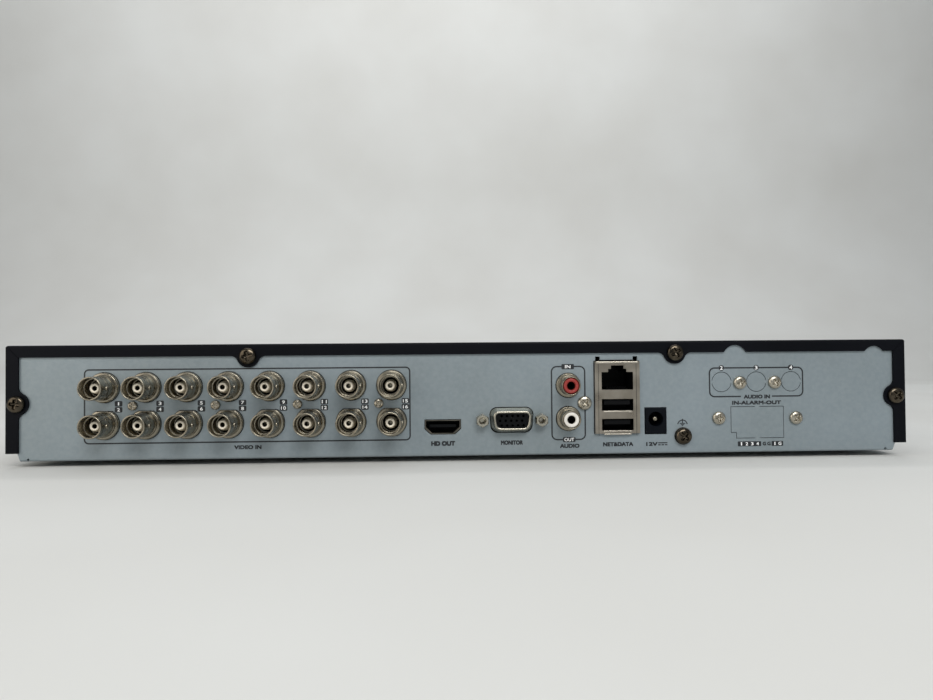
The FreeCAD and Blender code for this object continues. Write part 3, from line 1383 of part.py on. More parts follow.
# ---- write every piece ---------------------------------------------------------------------
def all_pieces():
    """Name and shape of every node."""
    pieces = [("base_chassis", make_chassis()), ("top_cover", make_cover()), ("front_bezel", make_bezel()),
              ("status_window", make_window()), ("rubber_feet", make_feet()),
              ("cover_screws", make_cover_screws()), ("bezel_screws", make_bezel_screws())]
    for index in range(bnc_columns // 2):
        pieces.append(("bnc_block_%d" % (index + 1), make_bnc_block(index)))
        pieces.append(("bnc_barrels_%d" % (index + 1), make_bnc_barrels(index)))
    pieces += [("bnc_insulators", make_bnc_insulators()), ("bnc_contacts", make_bnc_contacts()),
               ("bnc_block_screws", make_block_screws()),
               ("hd_socket_shell", make_hd_shell()), ("hd_socket_tongue", make_hd_tongue()),
               ("monitor_socket_shell", make_monitor_shell()),
               ("monitor_socket_insert", make_monitor_insert()),
               ("monitor_jack_nuts", make_jack_nuts()),
               ("audio_jack_body", make_audio_body()), ("audio_jack_sleeves", make_audio_sleeves()),
               ("audio_in_ring", make_audio_ring(max(audio_heights))),
               ("audio_out_ring", make_audio_ring(min(audio_heights))),
               ("audio_jack_screw", pan_screw(audio_screw_x, base_z + audio_screw_height, panel_y,
                                              audio_screw_head, small_thread, small_screw_length)),
               ("network_usb_shield", make_stack_shield()), ("network_socket_insert", make_network_insert()),
               ("usb_tongues", make_usb_tongues()),
               ("power_socket_body", make_power_body()), ("power_socket_pin", make_power_pin()),
               ("ground_screw", make_ground_screw()), ("ground_washer", make_ground_washer()),
               ("blank_screws", make_blank_screws()),
               ("mainboard", make_mainboard()), ("processor", make_processor()),
               ("heatsink", make_heatsink()),
               ("board_chips", make_board_chips()), ("coils_and_capacitors", make_power_parts()),
               ("clock_battery", make_clock_battery()), ("board_headers", make_headers()),
               ("board_screws", make_board_screws()), ("buzzer", make_buzzer()),
               ("drive_base", make_drive_base()), ("drive_lid", make_drive_lid()),
               ("drive_platters", make_platters()), ("drive_actuator", make_actuator()),
               ("drive_board", make_drive_board()), ("drive_screws", make_drive_screws()),
               ("data_lead", make_data_lead()), ("power_lead", make_power_lead()),
               ("fan_frame", make_fan_frame()), ("fan_rotor", make_fan_rotor()),
               ("fan_screws", make_fan_screws()),
               ("front_board", make_front_board()), ("front_lights", make_front_lights()),
               ("front_usb", make_front_usb()), ("front_ribbon", make_ribbon())]
    return pieces


os.makedirs("parts", exist_ok=True)
for piece_name, piece_shape in all_pieces():
    save(piece_name, piece_shape)
print("wrote", len(os.listdir("parts")), "pieces")
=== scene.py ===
"""Finish and fine detail of a sixteen camera video recorder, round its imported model.

The file is laid out as a Blender add-on and is run as a script. Sizes in the property groups are
in metres, as Blender has them; the surface formulas work in millimetres and are scaled once, when
a mesh is made. Places come from the frame: X across, +Y out of the rear panel, Z up.
"""

import json
import math

import bpy
import numpy as np
from mathutils import Matrix, Vector


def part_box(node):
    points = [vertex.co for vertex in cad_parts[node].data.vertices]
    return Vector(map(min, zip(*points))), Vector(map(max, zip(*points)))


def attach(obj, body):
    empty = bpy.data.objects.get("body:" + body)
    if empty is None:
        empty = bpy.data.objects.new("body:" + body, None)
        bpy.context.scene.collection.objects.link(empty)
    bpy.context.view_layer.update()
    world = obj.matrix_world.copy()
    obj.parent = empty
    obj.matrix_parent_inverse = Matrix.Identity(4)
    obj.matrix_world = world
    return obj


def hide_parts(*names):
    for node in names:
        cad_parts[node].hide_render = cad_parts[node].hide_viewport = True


bl_info = {
    "name": "Video recorder finish",
    "version": (1, 0, 0),
    "blender": (4, 5, 0),
    "location": "3D View > Sidebar > Recorder",
    "description": "Builds the sockets, screws, legends, board parts and finishes of a video recorder",
    "category": "Object",
}

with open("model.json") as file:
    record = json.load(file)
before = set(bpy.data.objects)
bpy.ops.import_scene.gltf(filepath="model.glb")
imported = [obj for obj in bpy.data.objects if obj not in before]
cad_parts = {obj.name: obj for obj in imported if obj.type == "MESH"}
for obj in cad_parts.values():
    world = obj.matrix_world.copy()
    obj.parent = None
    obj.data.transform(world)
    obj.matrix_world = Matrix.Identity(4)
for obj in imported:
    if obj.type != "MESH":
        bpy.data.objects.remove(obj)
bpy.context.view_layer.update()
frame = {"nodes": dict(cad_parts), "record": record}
NODES = frame["nodes"]
MOUNTS = {mount["name"]: np.array(mount["pos_m"]) * 1000.0 for mount in frame["record"]["mounts"]}
MM = 0.001


# ---- places read from the frame, in millimetres ---------------------------------------------
def node_box(name):
    """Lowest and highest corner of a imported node."""
    low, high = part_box(name)
    return np.array(low) / MM, np.array(high) / MM


def separate_boxes(name, axes=(0,), gap=1.0):
    """Boxes of the like pieces in one node: its corners are sorted along each axis and parted at each gap."""
    mesh = NODES[name].data
    flat = np.empty(len(mesh.vertices) * 3)
    mesh.vertices.foreach_get("co", flat)
    groups = [flat.reshape(-1, 3) / MM]
    for axis in axes:
        groups = [piece for group in groups for piece in parted(group, axis, gap)]
    return [(group.min(0), group.max(0)) for group in groups]


def parted(corners, axis, gap):
    """Corners in groups with more than the gap between one group and the next along an axis."""
    corners = corners[np.argsort(corners[:, axis])]
    return np.split(corners, np.nonzero(np.diff(corners[:, axis]) > gap)[0] + 1)


PANEL_Y = node_box("ground_washer")[0][1]
FLANGE_Y = node_box("top_cover")[1][1]
TOP_Z = node_box("top_cover")[1][2]
BOARD_TOP = node_box("mainboard")[1][2]


# ---- colour and material helpers --------------------------------------------------------------
def srgb(code):
    """A hex sRGB colour as linear values: the usual curve, straight below 0.04045."""
    values = [int(code[i:i + 2], 16) / 255.0 for i in (1, 3, 5)]
    linear = [v / 12.92 if v <= 0.04045 else ((v + 0.055) / 1.055) ** 2.4 for v in values]
    return (*linear, 1.0)


def paler(colour, times, more=0.0):
    """A colour made lighter, kept within white."""
    return (*(min(1.0, value * times + more) for value in colour[:3]), 1.0)


def per_mm(size):
    """Texture scale that gives features of that many millimetres on Object coordinates in metres."""
    return 1000.0 / size


def add(tree, kind, inputs=None, **settings):
    """Adds one node: settings are its own options, inputs are socket values or sockets to link from."""
    node = tree.nodes.new(kind)
    for key, value in settings.items():
        setattr(node, key, value)
    for key, value in (inputs or {}).items():
        if isinstance(value, bpy.types.NodeSocket):
            tree.links.new(value, node.inputs[key])
        else:
            node.inputs[key].default_value = value
    return node


def start_material(name, **values):
    """A new node material with its shader's plain values, and the Object coordinates."""
    material = bpy.data.materials.new(name)
    material.use_nodes = True
    tree = material.node_tree
    tree.nodes.clear()
    shader = add(tree, "ShaderNodeBsdfPrincipled", values)
    output = add(tree, "ShaderNodeOutputMaterial")
    tree.links.new(shader.outputs["BSDF"], output.inputs["Surface"])
    place = add(tree, "ShaderNodeTexCoord").outputs["Object"]
    return material, tree, shader, place


def blend_colours(tree, factor, first, second, low=0.3, high=0.7):
    """A two colour ramp on a factor."""
    ramp = add(tree, "ShaderNodeValToRGB", {"Fac": factor})
    ramp.color_ramp.elements[0].position = low
    ramp.color_ramp.elements[0].color = first
    ramp.color_ramp.elements[1].position = high
    ramp.color_ramp.elements[1].color = second
    return ramp.outputs["Color"]


def span(tree, value, low, high, start=0.3, end=0.7):
    """Carries a factor from start..end to low..high."""
    return add(tree, "ShaderNodeMapRange", {"Value": value, "From Min": start, "From Max": end,
                                            "To Min": low, "To Max": high}).outputs["Result"]


def stretched(tree, place, scale):
    """The coordinates scaled by a different amount along each axis."""
    return add(tree, "ShaderNodeMapping", {"Vector": place, "Scale": scale}).outputs["Vector"]


def grain(tree, place, size, detail=3.0):
    """Noise with features of that many millimetres."""
    inputs = {"Vector": place, "Scale": per_mm(size), "Detail": detail}
    return add(tree, "ShaderNodeTexNoise", inputs).outputs["Fac"]


def bump(tree, shader, height, depth):
    """Bump of that many millimetres from a height."""
    node = add(tree, "ShaderNodeBump", {"Height": height, "Distance": depth * MM, "Strength": 1.0})
    tree.links.new(node.outputs["Normal"], shader.inputs["Normal"])


def link(tree, socket, shader, name):
    """Joins a socket to one of the shader's inputs."""
    tree.links.new(socket, shader.inputs[name])


def tone(tree, shader, pattern, colours, rough):
    """Carries one pattern to both the colour, between two, and the roughness, from low to high."""
    link(tree, blend_colours(tree, pattern, *colours), shader, "Base Color")
    link(tree, span(tree, pattern, *rough), shader, "Roughness")


# ---- materials ----------------------------------------------------------------------------------
def powder_coated_steel(look):
    """Black polyester powder coat, cured to a fine orange peel: dark, with a soft broad shine."""
    material, tree, shader, place = start_material("powder_coated_steel_black", Roughness=0.5)
    shader.inputs["Specular IOR Level"].default_value = 0.09
    peel = grain(tree, place, 0.7, 2.0)
    dust = grain(tree, place, 35.0, 5.0)
    tone(tree, shader, dust, (look.cover_colour, srgb("#080a11")), (0.44, 0.56))
    bump(tree, shader, peel, 0.02)
    return material


def coated_zinc_sheet(look):
    """Galvanised steel sheet under a grey passivation coat: blue-grey and even, with a low, wide shine."""
    material, tree, shader, place = start_material("galvanised_steel_passivated", Metallic=0.35)
    rolling = grain(tree, stretched(tree, place, (0.08, 1.0, 1.0)), 0.5, 2.0)
    cloud = grain(tree, place, 70.0, 4.0)
    speck = grain(tree, place, 1.6, 3.0)
    base = blend_colours(tree, cloud, look.panel_colour, look.panel_tint, 0.35, 0.65)
    fleck = add(tree, "ShaderNodeMix", {"Factor": span(tree, speck, 0.0, 0.05), "A": base,
                                        "B": srgb("#dfe6ea")}, data_type="RGBA")
    link(tree, fleck.outputs["Result"], shader, "Base Color")
    link(tree, span(tree, cloud, 0.36, 0.44), shader, "Roughness")
    bump(tree, shader, rolling, 0.0008)
    return material


def plated_metal(name, colour, tint, rough_low, rough_high, size=1.4):
    """Bright plating over turned or stamped metal: mirror-like with handling smears."""
    material, tree, shader, place = start_material(name, Metallic=1.0)
    smear = grain(tree, place, size * 4, 2.0)
    fine = grain(tree, place, size * 0.3, 2.0)
    tone(tree, shader, smear, (colour, tint), (rough_low, rough_high))
    bump(tree, shader, fine, 0.0004)
    return material


def moulded_plastic(name, colour, tint, roughness, texture_mm=0.35, depth=0.012):
    """Injection moulded thermoplastic with a spark eroded texture from its tool."""
    material, tree, shader, place = start_material(name)
    pattern = grain(tree, place, texture_mm, 3.0)
    wide = grain(tree, place, 14.0, 3.0)
    link(tree, blend_colours(tree, wide, colour, tint), shader, "Base Color")
    link(tree, span(tree, pattern, roughness - 0.05, roughness + 0.07), shader, "Roughness")
    bump(tree, shader, pattern, depth)
    return material


def smooth_plastic(name, colour, roughness, shine=0.5):
    """Polished tool moulding, with faint flow marks."""
    material, tree, shader, place = start_material(name)
    shader.inputs["Specular IOR Level"].default_value = shine
    flow = grain(tree, place, 5.0, 2.0)
    pale = paler(colour, 1.15)
    tone(tree, shader, flow, (colour, pale), (roughness - 0.04, roughness + 0.05))
    return material


def solder_mask_board(name):
    """Printed board: glossy green mask over etched copper tracks with plated holes."""
    material, tree, shader, place = start_material(name, Roughness=0.28)
    tracks = add(tree, "ShaderNodeTexBrick", {"Vector": place, "Scale": per_mm(1.0), "Mortar Size": 0.12,
                                              "Brick Width": 7.0, "Row Height": 0.9, "Color1": (1, 1, 1, 1),
                                              "Color2": (0.8, 0.8, 0.8, 1), "Mortar": (0, 0, 0, 1)})
    region = grain(tree, place, 22.0, 1.0)
    lit = add(tree, "ShaderNodeMath", {0: tracks.outputs["Fac"], 1: span(tree, region, 0.0, 1.0, 0.45, 0.55)},
              operation="MULTIPLY").outputs["Value"]
    link(tree, blend_colours(tree, lit, srgb("#12452f"), srgb("#2b7a4e"), 0.1, 0.9), shader, "Base Color")
    holes = add(tree, "ShaderNodeTexVoronoi", {"Vector": place, "Scale": per_mm(4.0), "Randomness": 0.7})
    link(tree, span(tree, holes.outputs["Distance"], 0.9, 0.0, 0.06, 0.07), shader, "Metallic")
    bump(tree, shader, lit, 0.03)
    return material


def brushed_metal(name, colour, tint, direction, roughness=0.3):
    """Metal with fine scratches all one way, from a belt or a rolling mill."""
    material, tree, shader, place = start_material(name, Metallic=1.0)
    scratch = grain(tree, stretched(tree, place, direction), 0.4, 4.0)
    tone(tree, shader, scratch, (colour, tint), (roughness - 0.08, roughness + 0.1))
    bump(tree, shader, scratch, 0.006)
    return material


def cast_metal(name, colour, tint):
    """Die cast aluminium with the dull, slightly pebbled skin of its die."""
    material, tree, shader, place = start_material(name, Metallic=1.0)
    pebble = grain(tree, place, 0.8, 3.0)
    tone(tree, shader, pebble, (colour, tint), (0.42, 0.6))
    bump(tree, shader, pebble, 0.03)
    return material


def ribbon_jacket():
    """Grey flat ribbon: parallel wires a millimetre apart under one skin, darker in the grooves between them as
    painted shade.
    """
    material, tree, shader, place = start_material("pvc_ribbon_grey", Roughness=0.5)
    wires = add(tree, "ShaderNodeTexWave", {"Vector": place, "Scale": per_mm(1.0) / 20.0 * 6.28},
                bands_direction="X").outputs["Fac"]
    # the colour follows the same waves as the bump: darker in the grooves between the wires, painted shade
    colours = blend_colours(tree, wires, srgb("#8c8c88"), srgb("#c4c4bf"), 0.2, 0.6)
    link(tree, colours, shader, "Base Color")
    bump(tree, shader, wires, 0.25)
    return material


def smoked_acrylic():
    """Tinted acrylic strip: nearly black, deep gloss, passes only infrared and lamp light."""
    material, tree, shader, place = start_material("acrylic_smoked", Roughness=0.06)
    shader.inputs["Coat Weight"].default_value = 0.5
    shader.inputs["Coat Roughness"].default_value = 0.03
    haze = grain(tree, place, 18.0, 3.0)
    link(tree, blend_colours(tree, haze, srgb("#0c090b"), srgb("#17100f")), shader, "Base Color")
    return material


def glowing_lamp(name, colour, glow):
    """Clear epoxy lamp lit from inside."""
    material, tree, shader, place = start_material(name, Roughness=0.2)
    core = grain(tree, place, 2.0, 1.0)
    link(tree, blend_colours(tree, core, colour, srgb("#ffffff"), 0.4, 1.0), shader, "Base Color")
    shader.inputs["Emission Color"].default_value = colour
    shader.inputs["Emission Strength"].default_value = glow
    return material


def printed_ink(name, colour):
    """Screen printed epoxy ink: flat, slightly uneven at its edges."""
    material, tree, shader, place = start_material(name, Roughness=0.55)
    wear = grain(tree, place, 0.4, 3.0)
    pale = paler(colour, 1.35, 0.004)
    link(tree, blend_colours(tree, wear, colour, pale), shader, "Base Color")
    return material


def studio_sheet(look):
    """Matt paper sweep, very faintly mottled."""
    material, tree, shader, place = start_material("matt_paper_pale", Roughness=0.9)
    mottle = grain(tree, place, 240.0, 3.0)
    link(tree, blend_colours(tree, mottle, look.floor_colour, srgb("#dbdcda")), shader, "Base Color")
    return material


# ---- surfaces -------------------------------------------------------------------------------------
def strip_faces(rows, columns, closed=True):
    """Corner numbers of the quads between neighbouring rows and columns of a grid."""
    row = np.arange(rows - 1)[:, None]
    column = np.arange(columns if closed else columns - 1)[None, :]
    after = (column + 1) % columns
    here, ahead = row * columns, (row + 1) * columns
    quads = [here + column, here + after, ahead + after, ahead + column]
    return np.stack(np.broadcast_arrays(*quads), -1).reshape(-1, 4)


def signed_volume(points, faces):
    """Sum over fan triangles of a . (b x c) / 6, negative when the faces look inwards."""
    a, b, c, d = (points[faces[:, k]] for k in range(4))
    return (np.einsum("ij,ij->i", a, np.cross(b, c)) + np.einsum("ij,ij->i", a, np.cross(c, d))).sum() / 6


def turned_over(faces):
    """The same faces seen from their other side, with a triangle's repeated corner still last."""
    return np.roll(faces[:, ::-1], 2, 1)


def outward(points, faces):
    """A closed surface with its faces turned over where they look inwards."""
    return points, (turned_over(faces) if signed_volume(points, faces) < 0 else faces)


def shifted(part, offset):
    """A surface moved by an offset."""
    return part[0] + np.asarray(offset, float), part[1]


def closed_loops(loops):
    """A closed skin over a stack of loops: quads between them and a fan to the middle of each end."""
    rows, columns, _ = loops.shape
    ends = loops[[0, -1]].mean(1)
    points = np.vstack([loops.reshape(-1, 3), ends])
    faces = strip_faces(rows, columns)
    ring = np.arange(columns)
    after = (ring + 1) % columns
    last = (rows - 1) * columns
    middle = np.full(columns, rows * columns)
    first_cap = np.stack([after, ring, middle, middle], 1)
    last_cap = np.stack([last + ring, last + after, middle + 1, middle + 1], 1)
    return outward(points, np.vstack([faces, first_cap, last_cap]))


def ring_tube(loops):
    """A skin that also closes from its last loop back to its first, as a torus does."""
    rows, columns, _ = loops.shape
    faces = strip_faces(rows + 1, columns) % (rows * columns)
    return outward(loops.reshape(-1, 3), faces)


def joined(parts):
    """Several surfaces as one, each one's face numbers counted on from the corners before it."""
    starts = np.cumsum([0] + [len(points) for points, _ in parts[:-1]])
    return (np.vstack([points for points, _ in parts]),
            np.vstack([faces + start for (_, faces), start in zip(parts, starts)]))


def repeated(part, offsets):
    """The same surface at each offset."""
    points, faces = part
    moved = (points[None] + np.asarray(offsets, float)[:, None]).reshape(-1, 3)
    count = len(points) * np.arange(len(offsets))[:, None, None]
    return moved, (faces[None] + count).reshape(-1, 4)


def make_object(name, part, material, smooth=35.0):
    """A mesh object from a surface in millimetres, smooth except over edges sharper than the angle."""
    points, faces = part
    mesh = bpy.data.meshes.new(name)
    loops = [face[:3] if face[2] == face[3] else face for face in faces.tolist()]
    mesh.from_pydata((points * MM).tolist(), [], loops)
    mesh.validate()
    mesh.shade_smooth()
    mesh.set_sharp_from_angle(angle=math.radians(smooth))
    mesh.materials.append(material)
    made = bpy.data.objects.new(name, mesh)
    bpy.context.scene.collection.objects.link(made)
    return made


def finish_piece(made, body, slot, *replaced):
    """Puts a piece on its body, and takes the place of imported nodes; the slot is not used."""
    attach(made, body)
    if replaced:
        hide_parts(*replaced)
    return made


def paint(material, *nodes):
    """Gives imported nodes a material, keeping their meshes as they are."""
    for name in nodes:
        mesh = NODES[name].data
        mesh.materials.clear()
        mesh.materials.append(material)


def soft_profile(points, radius, steps=4):
    """A profile with each inner corner rounded: a quadratic curve between points set back on both sides."""
    points = np.asarray(points, float)
    before, corner, after = points[:-2], points[1:-1], points[2:]
    to_before, to_after = before - corner, after - corner
    length_before = np.linalg.norm(to_before, axis=1, keepdims=True)
    length_after = np.linalg.norm(to_after, axis=1, keepdims=True)
    back = np.minimum(radius, 0.45 * np.minimum(length_before, length_after))
    start = corner + to_before / length_before * back
    end = corner + to_after / length_after * back
    t = np.linspace(0, 1, steps + 1)[None, :, None]
    curve = (1 - t) ** 2 * start[:, None] + 2 * t * (1 - t) * corner[:, None] + t ** 2 * end[:, None]
    return np.vstack([points[:1], curve.reshape(-1, 2), points[-1:]])


def turned(profile, columns=64, limit=None):
    """A (radius, height) profile turned about +Y: x = r cos a, y = height, z = r sin a.
    limit gives the largest radius at each angle, which cuts flats on the rows that pass it."""
    profile = np.asarray(profile, float)
    angle = np.linspace(0, 2 * np.pi, columns, endpoint=False)
    radius = np.repeat(profile[:, :1], columns, 1)
    if limit is not None:
        radius = np.minimum(radius, limit(angle)[None])
    height = np.broadcast_to(profile[:, 1:], radius.shape)
    return np.stack([radius * np.cos(angle), height, radius * np.sin(angle)], -1)


def soft_loop(points, radius, steps=5):
    """A closed outline with every corner rounded, as soft_profile does for the corners between its ends."""
    points = np.asarray(points, float)
    wrapped = np.vstack([points[-1:], points, points[:1]])
    return soft_profile(wrapped, radius, steps)[1:-1]


def rounded_outline(wide, tall, radius, steps=6):
    """The outline of a rectangle with quarter round corners, anticlockwise, as (x, z)."""
    angle = np.linspace(0, np.pi / 2, steps + 1)
    arc = np.stack([np.cos(angle), np.sin(angle)], -1) * radius
    turns = [np.array([[c, -s], [s, c]]) for c, s in ((1, 0), (0, 1), (-1, 0), (0, -1))]
    centres = [(1, 1), (-1, 1), (-1, -1), (1, -1)]
    half = np.array([wide / 2 - radius, tall / 2 - radius])
    return np.vstack([arc @ turn.T + half * centre for turn, centre in zip(turns, centres)])


def facing_rear(outline, depth):
    """Lays an (x, z) outline at a depth along Y."""
    return np.stack([outline[:, 0], np.full(len(outline), float(depth)), outline[:, 1]], -1)


def facing_up(outline, level):
    """Lays an (x, y) outline at a level along Z."""
    return np.column_stack([outline, np.full(len(outline), float(level))])


def padded_block(wide, tall, radius, stations):
    """A block with a rounded rectangle section: stations are (depth, inset) pairs along Y."""
    rings = [rounded_outline(wide - 2 * inset, tall - 2 * inset, max(radius - inset, 0.05))
             for _, inset in stations]
    return closed_loops(np.array([facing_rear(ring, depth) for ring, (depth, _) in zip(rings, stations)]))


def box_part(low, high, edge=0.2):
    """A box with chamfered edges, its section a rounded rectangle in X and Z."""
    low, high = np.asarray(low, float), np.asarray(high, float)
    size = high - low
    middle = (low + high) / 2
    edge = min(edge, 0.3 * size.min())
    part = padded_block(size[0], size[2], edge * 1.5,
                        [(low[1], edge), (low[1] + edge, 0), (high[1] - edge, 0), (high[1], edge)])
    return shifted(part, (middle[0], 0, middle[2]))


def stroke(path, width, low, high, closed=False):
    """A printed line: a flat bar carried along an (x, z) path, with its sides square to the path."""
    path = np.asarray(path, float)
    if closed:
        ahead = np.roll(path, -1, 0) - np.roll(path, 1, 0)
    else:
        ahead = np.gradient(path, axis=0)
    ahead /= np.linalg.norm(ahead, axis=1, keepdims=True)
    side = np.stack([-ahead[:, 1], ahead[:, 0]], -1) * width / 2
    loops = np.stack([facing_rear(path + side, low), facing_rear(path + side, high),
                      facing_rear(path - side, high), facing_rear(path - side, low)], 1)
    return ring_tube(loops) if closed else closed_loops(loops)


# ---- screws ---------------------------------------------------------------------------------------
def screw_surface(head, tall, thread, length, pitch=0.0, spin=0.0):
    """A pan head screw along +Y with its seat at height 0.
    Top: height = tall (0.42 + 0.58 sqrt(1 - t^3)) at radius t R, less a cross whose two arms fall off over
    a short ramp. Shank: radius = r - 0.3 |saw(y / pitch - a / 2 pi)|, which is a thread; pitch 0 is plain."""
    columns = 64
    angle = np.linspace(0, 2 * np.pi, columns, endpoint=False)
    t = np.linspace(0.03, 1.0, 22)[:, None]
    x, z = head / 2 * t * np.cos(angle - spin), head / 2 * t * np.sin(angle - spin)
    arm, web, ramp = 0.29 * head, 0.075 * head, 0.045 * head

    def inside(value, edge):
        return np.clip((edge - np.abs(value)) / ramp + 0.5, 0, 1)

    cross = np.maximum(inside(x, arm) * inside(z, web), inside(x, web) * inside(z, arm))
    fall = 1 - 0.45 * np.hypot(x, z) / arm
    dome = 0.42 + 0.58 * np.sqrt(np.clip(1 - t ** 3, 0, 1))
    height = tall * dome - 0.62 * tall * cross * np.clip(fall, 0, 1)
    top = np.stack([head / 2 * t * np.cos(angle), height, head / 2 * t * np.sin(angle)], -1)
    edge = [(head / 2, tall * 0.3), (head / 2, 0.08), (head / 2 - 0.08, 0.0), (thread / 2, 0.0)]
    down = np.linspace(-0.1, -length, max(6, int(length / max(pitch, 1.0) * 9)))[:, None]
    saw = np.zeros((len(down), columns))
    if pitch:
        saw = np.abs((down / pitch - angle / (2 * np.pi)) % 1.0 - 0.5) * 2
    taper = np.clip((down + length) / 0.6, 0.55, 1.0)
    radius = (thread / 2 - 0.3 * saw) * taper
    depth = np.broadcast_to(down, radius.shape)
    shank = np.stack([radius * np.cos(angle), depth, radius * np.sin(angle)], -1)
    return closed_loops(np.concatenate([top, turned(edge, columns), shank]))


def screw_group(name, node, tall, thread, material, pitch=0.0):
    """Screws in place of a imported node: one at the middle of each box, with its head's size from that box."""
    parts = []
    for index, (low, high) in enumerate(separate_boxes(node)):
        middle = (low + high) / 2
        head = high[0] - low[0]
        seat = high[1] - tall
        part = screw_surface(head, tall, thread, seat - low[1], pitch, spin=0.7 + 1.9 * index)
        parts.append(shifted(part, (middle[0], seat, middle[2])))
    return make_object(name, joined(parts), material)


# ---- camera sockets ---------------------------------------------------------------------------------
LUG_DROP = 4.8         # bayonet lugs, below the mouth
BASE_FLAT = 5.4        # flat on the lower bases, above the middle


def panel_point(name):
    """Where a mount's axis meets the rear panel's face."""
    return np.array([MOUNTS[name][0], PANEL_Y, MOUNTS[name][2]])


def camera_socket_centres():
    """Middle of each camera socket on the panel's face, in order of its number."""
    return np.array([panel_point(name) for name in sorted(MOUNTS) if name.startswith("video_in_")])


def barrel_profile(reach):
    """Bore, mouth, rim, barrel and base of a bayonet socket, from the inside out."""
    return [(2.5, reach - 8.5), (3.7, reach - 8.5), (3.7, reach - 4.0), (4.08, reach - 4.0),
            (4.08, reach - 0.3), (4.3, reach), (4.62, reach), (4.8, reach - 0.2), (4.8, 7.0), (4.66, 6.85),
            (4.66, 6.5), (4.8, 6.35), (4.8, 2.7), (5.15, 2.4), (5.3, 1.8), (5.9, 1.8), (6.3, 1.4), (6.3, 0.0),
            (6.3, -1.0), (5.2, -1.0), (5.2, -7.0)]


def flat_top(angle):
    """Limit of the radius that leaves a flat over the middle: flat / sin a in the upper half, none below."""
    rise = np.sin(angle)
    return np.where(rise > 0.2, BASE_FLAT / np.maximum(rise, 0.2), 100.0)


def lug_surface(inner, outer, radius, depth):
    """A round pin across X with a domed end: radius r cos(b) as x runs out by r sin(b) over the dome."""
    rise = 0.45
    rows = [(radius, inner), (radius, outer - rise)]
    rows += [(radius * math.cos(b), outer - rise + rise * math.sin(b))
             for b in np.linspace(0, np.pi / 2 * 0.95, 5)[1:]]
    loops = turned(rows, 20)
    return closed_loops(np.stack([loops[..., 1], loops[..., 0] + depth, loops[..., 2]], -1))


def camera_socket_shell(lower_row):
    """One plated socket with its two bayonet lugs; the lower row's base has a flat on top."""
    reach = node_box("bnc_barrels_1")[1][1] - PANEL_Y
    barrel = closed_loops(turned(soft_profile(barrel_profile(reach), 0.12, 2), 72,
                                 flat_top if lower_row else None))
    right = lug_surface(4.0, 5.5, 1.0, reach - LUG_DROP)
    left = (right[0] * np.array([-1, 1, 1]), turned_over(right[1]))
    return joined([barrel, right, left])


def build_camera_sockets(look):
    """Barrels, cores and contacts of all sixteen camera sockets."""
    centres = camera_socket_centres()
    nickel = plated_metal("brass_nickel_plated", look.nickel_colour, look.nickel_tint, 0.24, 0.31)
    shells = [camera_socket_shell(False), camera_socket_shell(True)]
    for index in range(4):
        mine = centres[4 * index:4 * index + 4]
        part = joined([repeated(shells[0], mine[0::2]), repeated(shells[1], mine[1::2])])
        made = make_object("camera_sockets_%d" % (index + 1), part, nickel, 40)
        finish_piece(made, "case", "nickel_plate", "bnc_barrels_%d" % (index + 1))
    reach = node_box("bnc_insulators")[1][1] - PANEL_Y
    core = [(0.96, reach - 5.9), (0.96, reach - 0.9), (1.0, reach - 0.35), (1.35, reach - 0.05), (1.6, reach),
            (1.95, reach - 0.35), (2.15, reach - 1.1), (2.4, reach - 2.4), (2.4, reach - 4.3),
            (3.6, reach - 4.3), (3.6, reach - 5.9)]
    white = smooth_plastic("ptfe_turned_white", srgb("#e9e2d2"), 0.38)
    part = repeated(closed_loops(turned(soft_profile(core, 0.15, 3), 40)), centres)
    finish_piece(make_object("camera_socket_cores", part, white), "case", "white_core", "bnc_insulators")
    # the contacts line the cores' holes in near black: painted shade that stands for the dark inside of each
    # hole
    contact = [(0.8, reach - 5.7), (0.8, reach - 0.65), (0.94, reach - 0.5), (0.94, reach - 5.7)]
    shaded_contact = plated_metal("phosphor_bronze_gold_flash", srgb("#1c170e"), srgb("#2a2314"), 0.45, 0.55)
    part = repeated(closed_loops(turned(contact, 24)), centres)
    finish_piece(make_object("camera_socket_contacts", part, shaded_contact), "case", "contact_gold", "bnc_contacts")


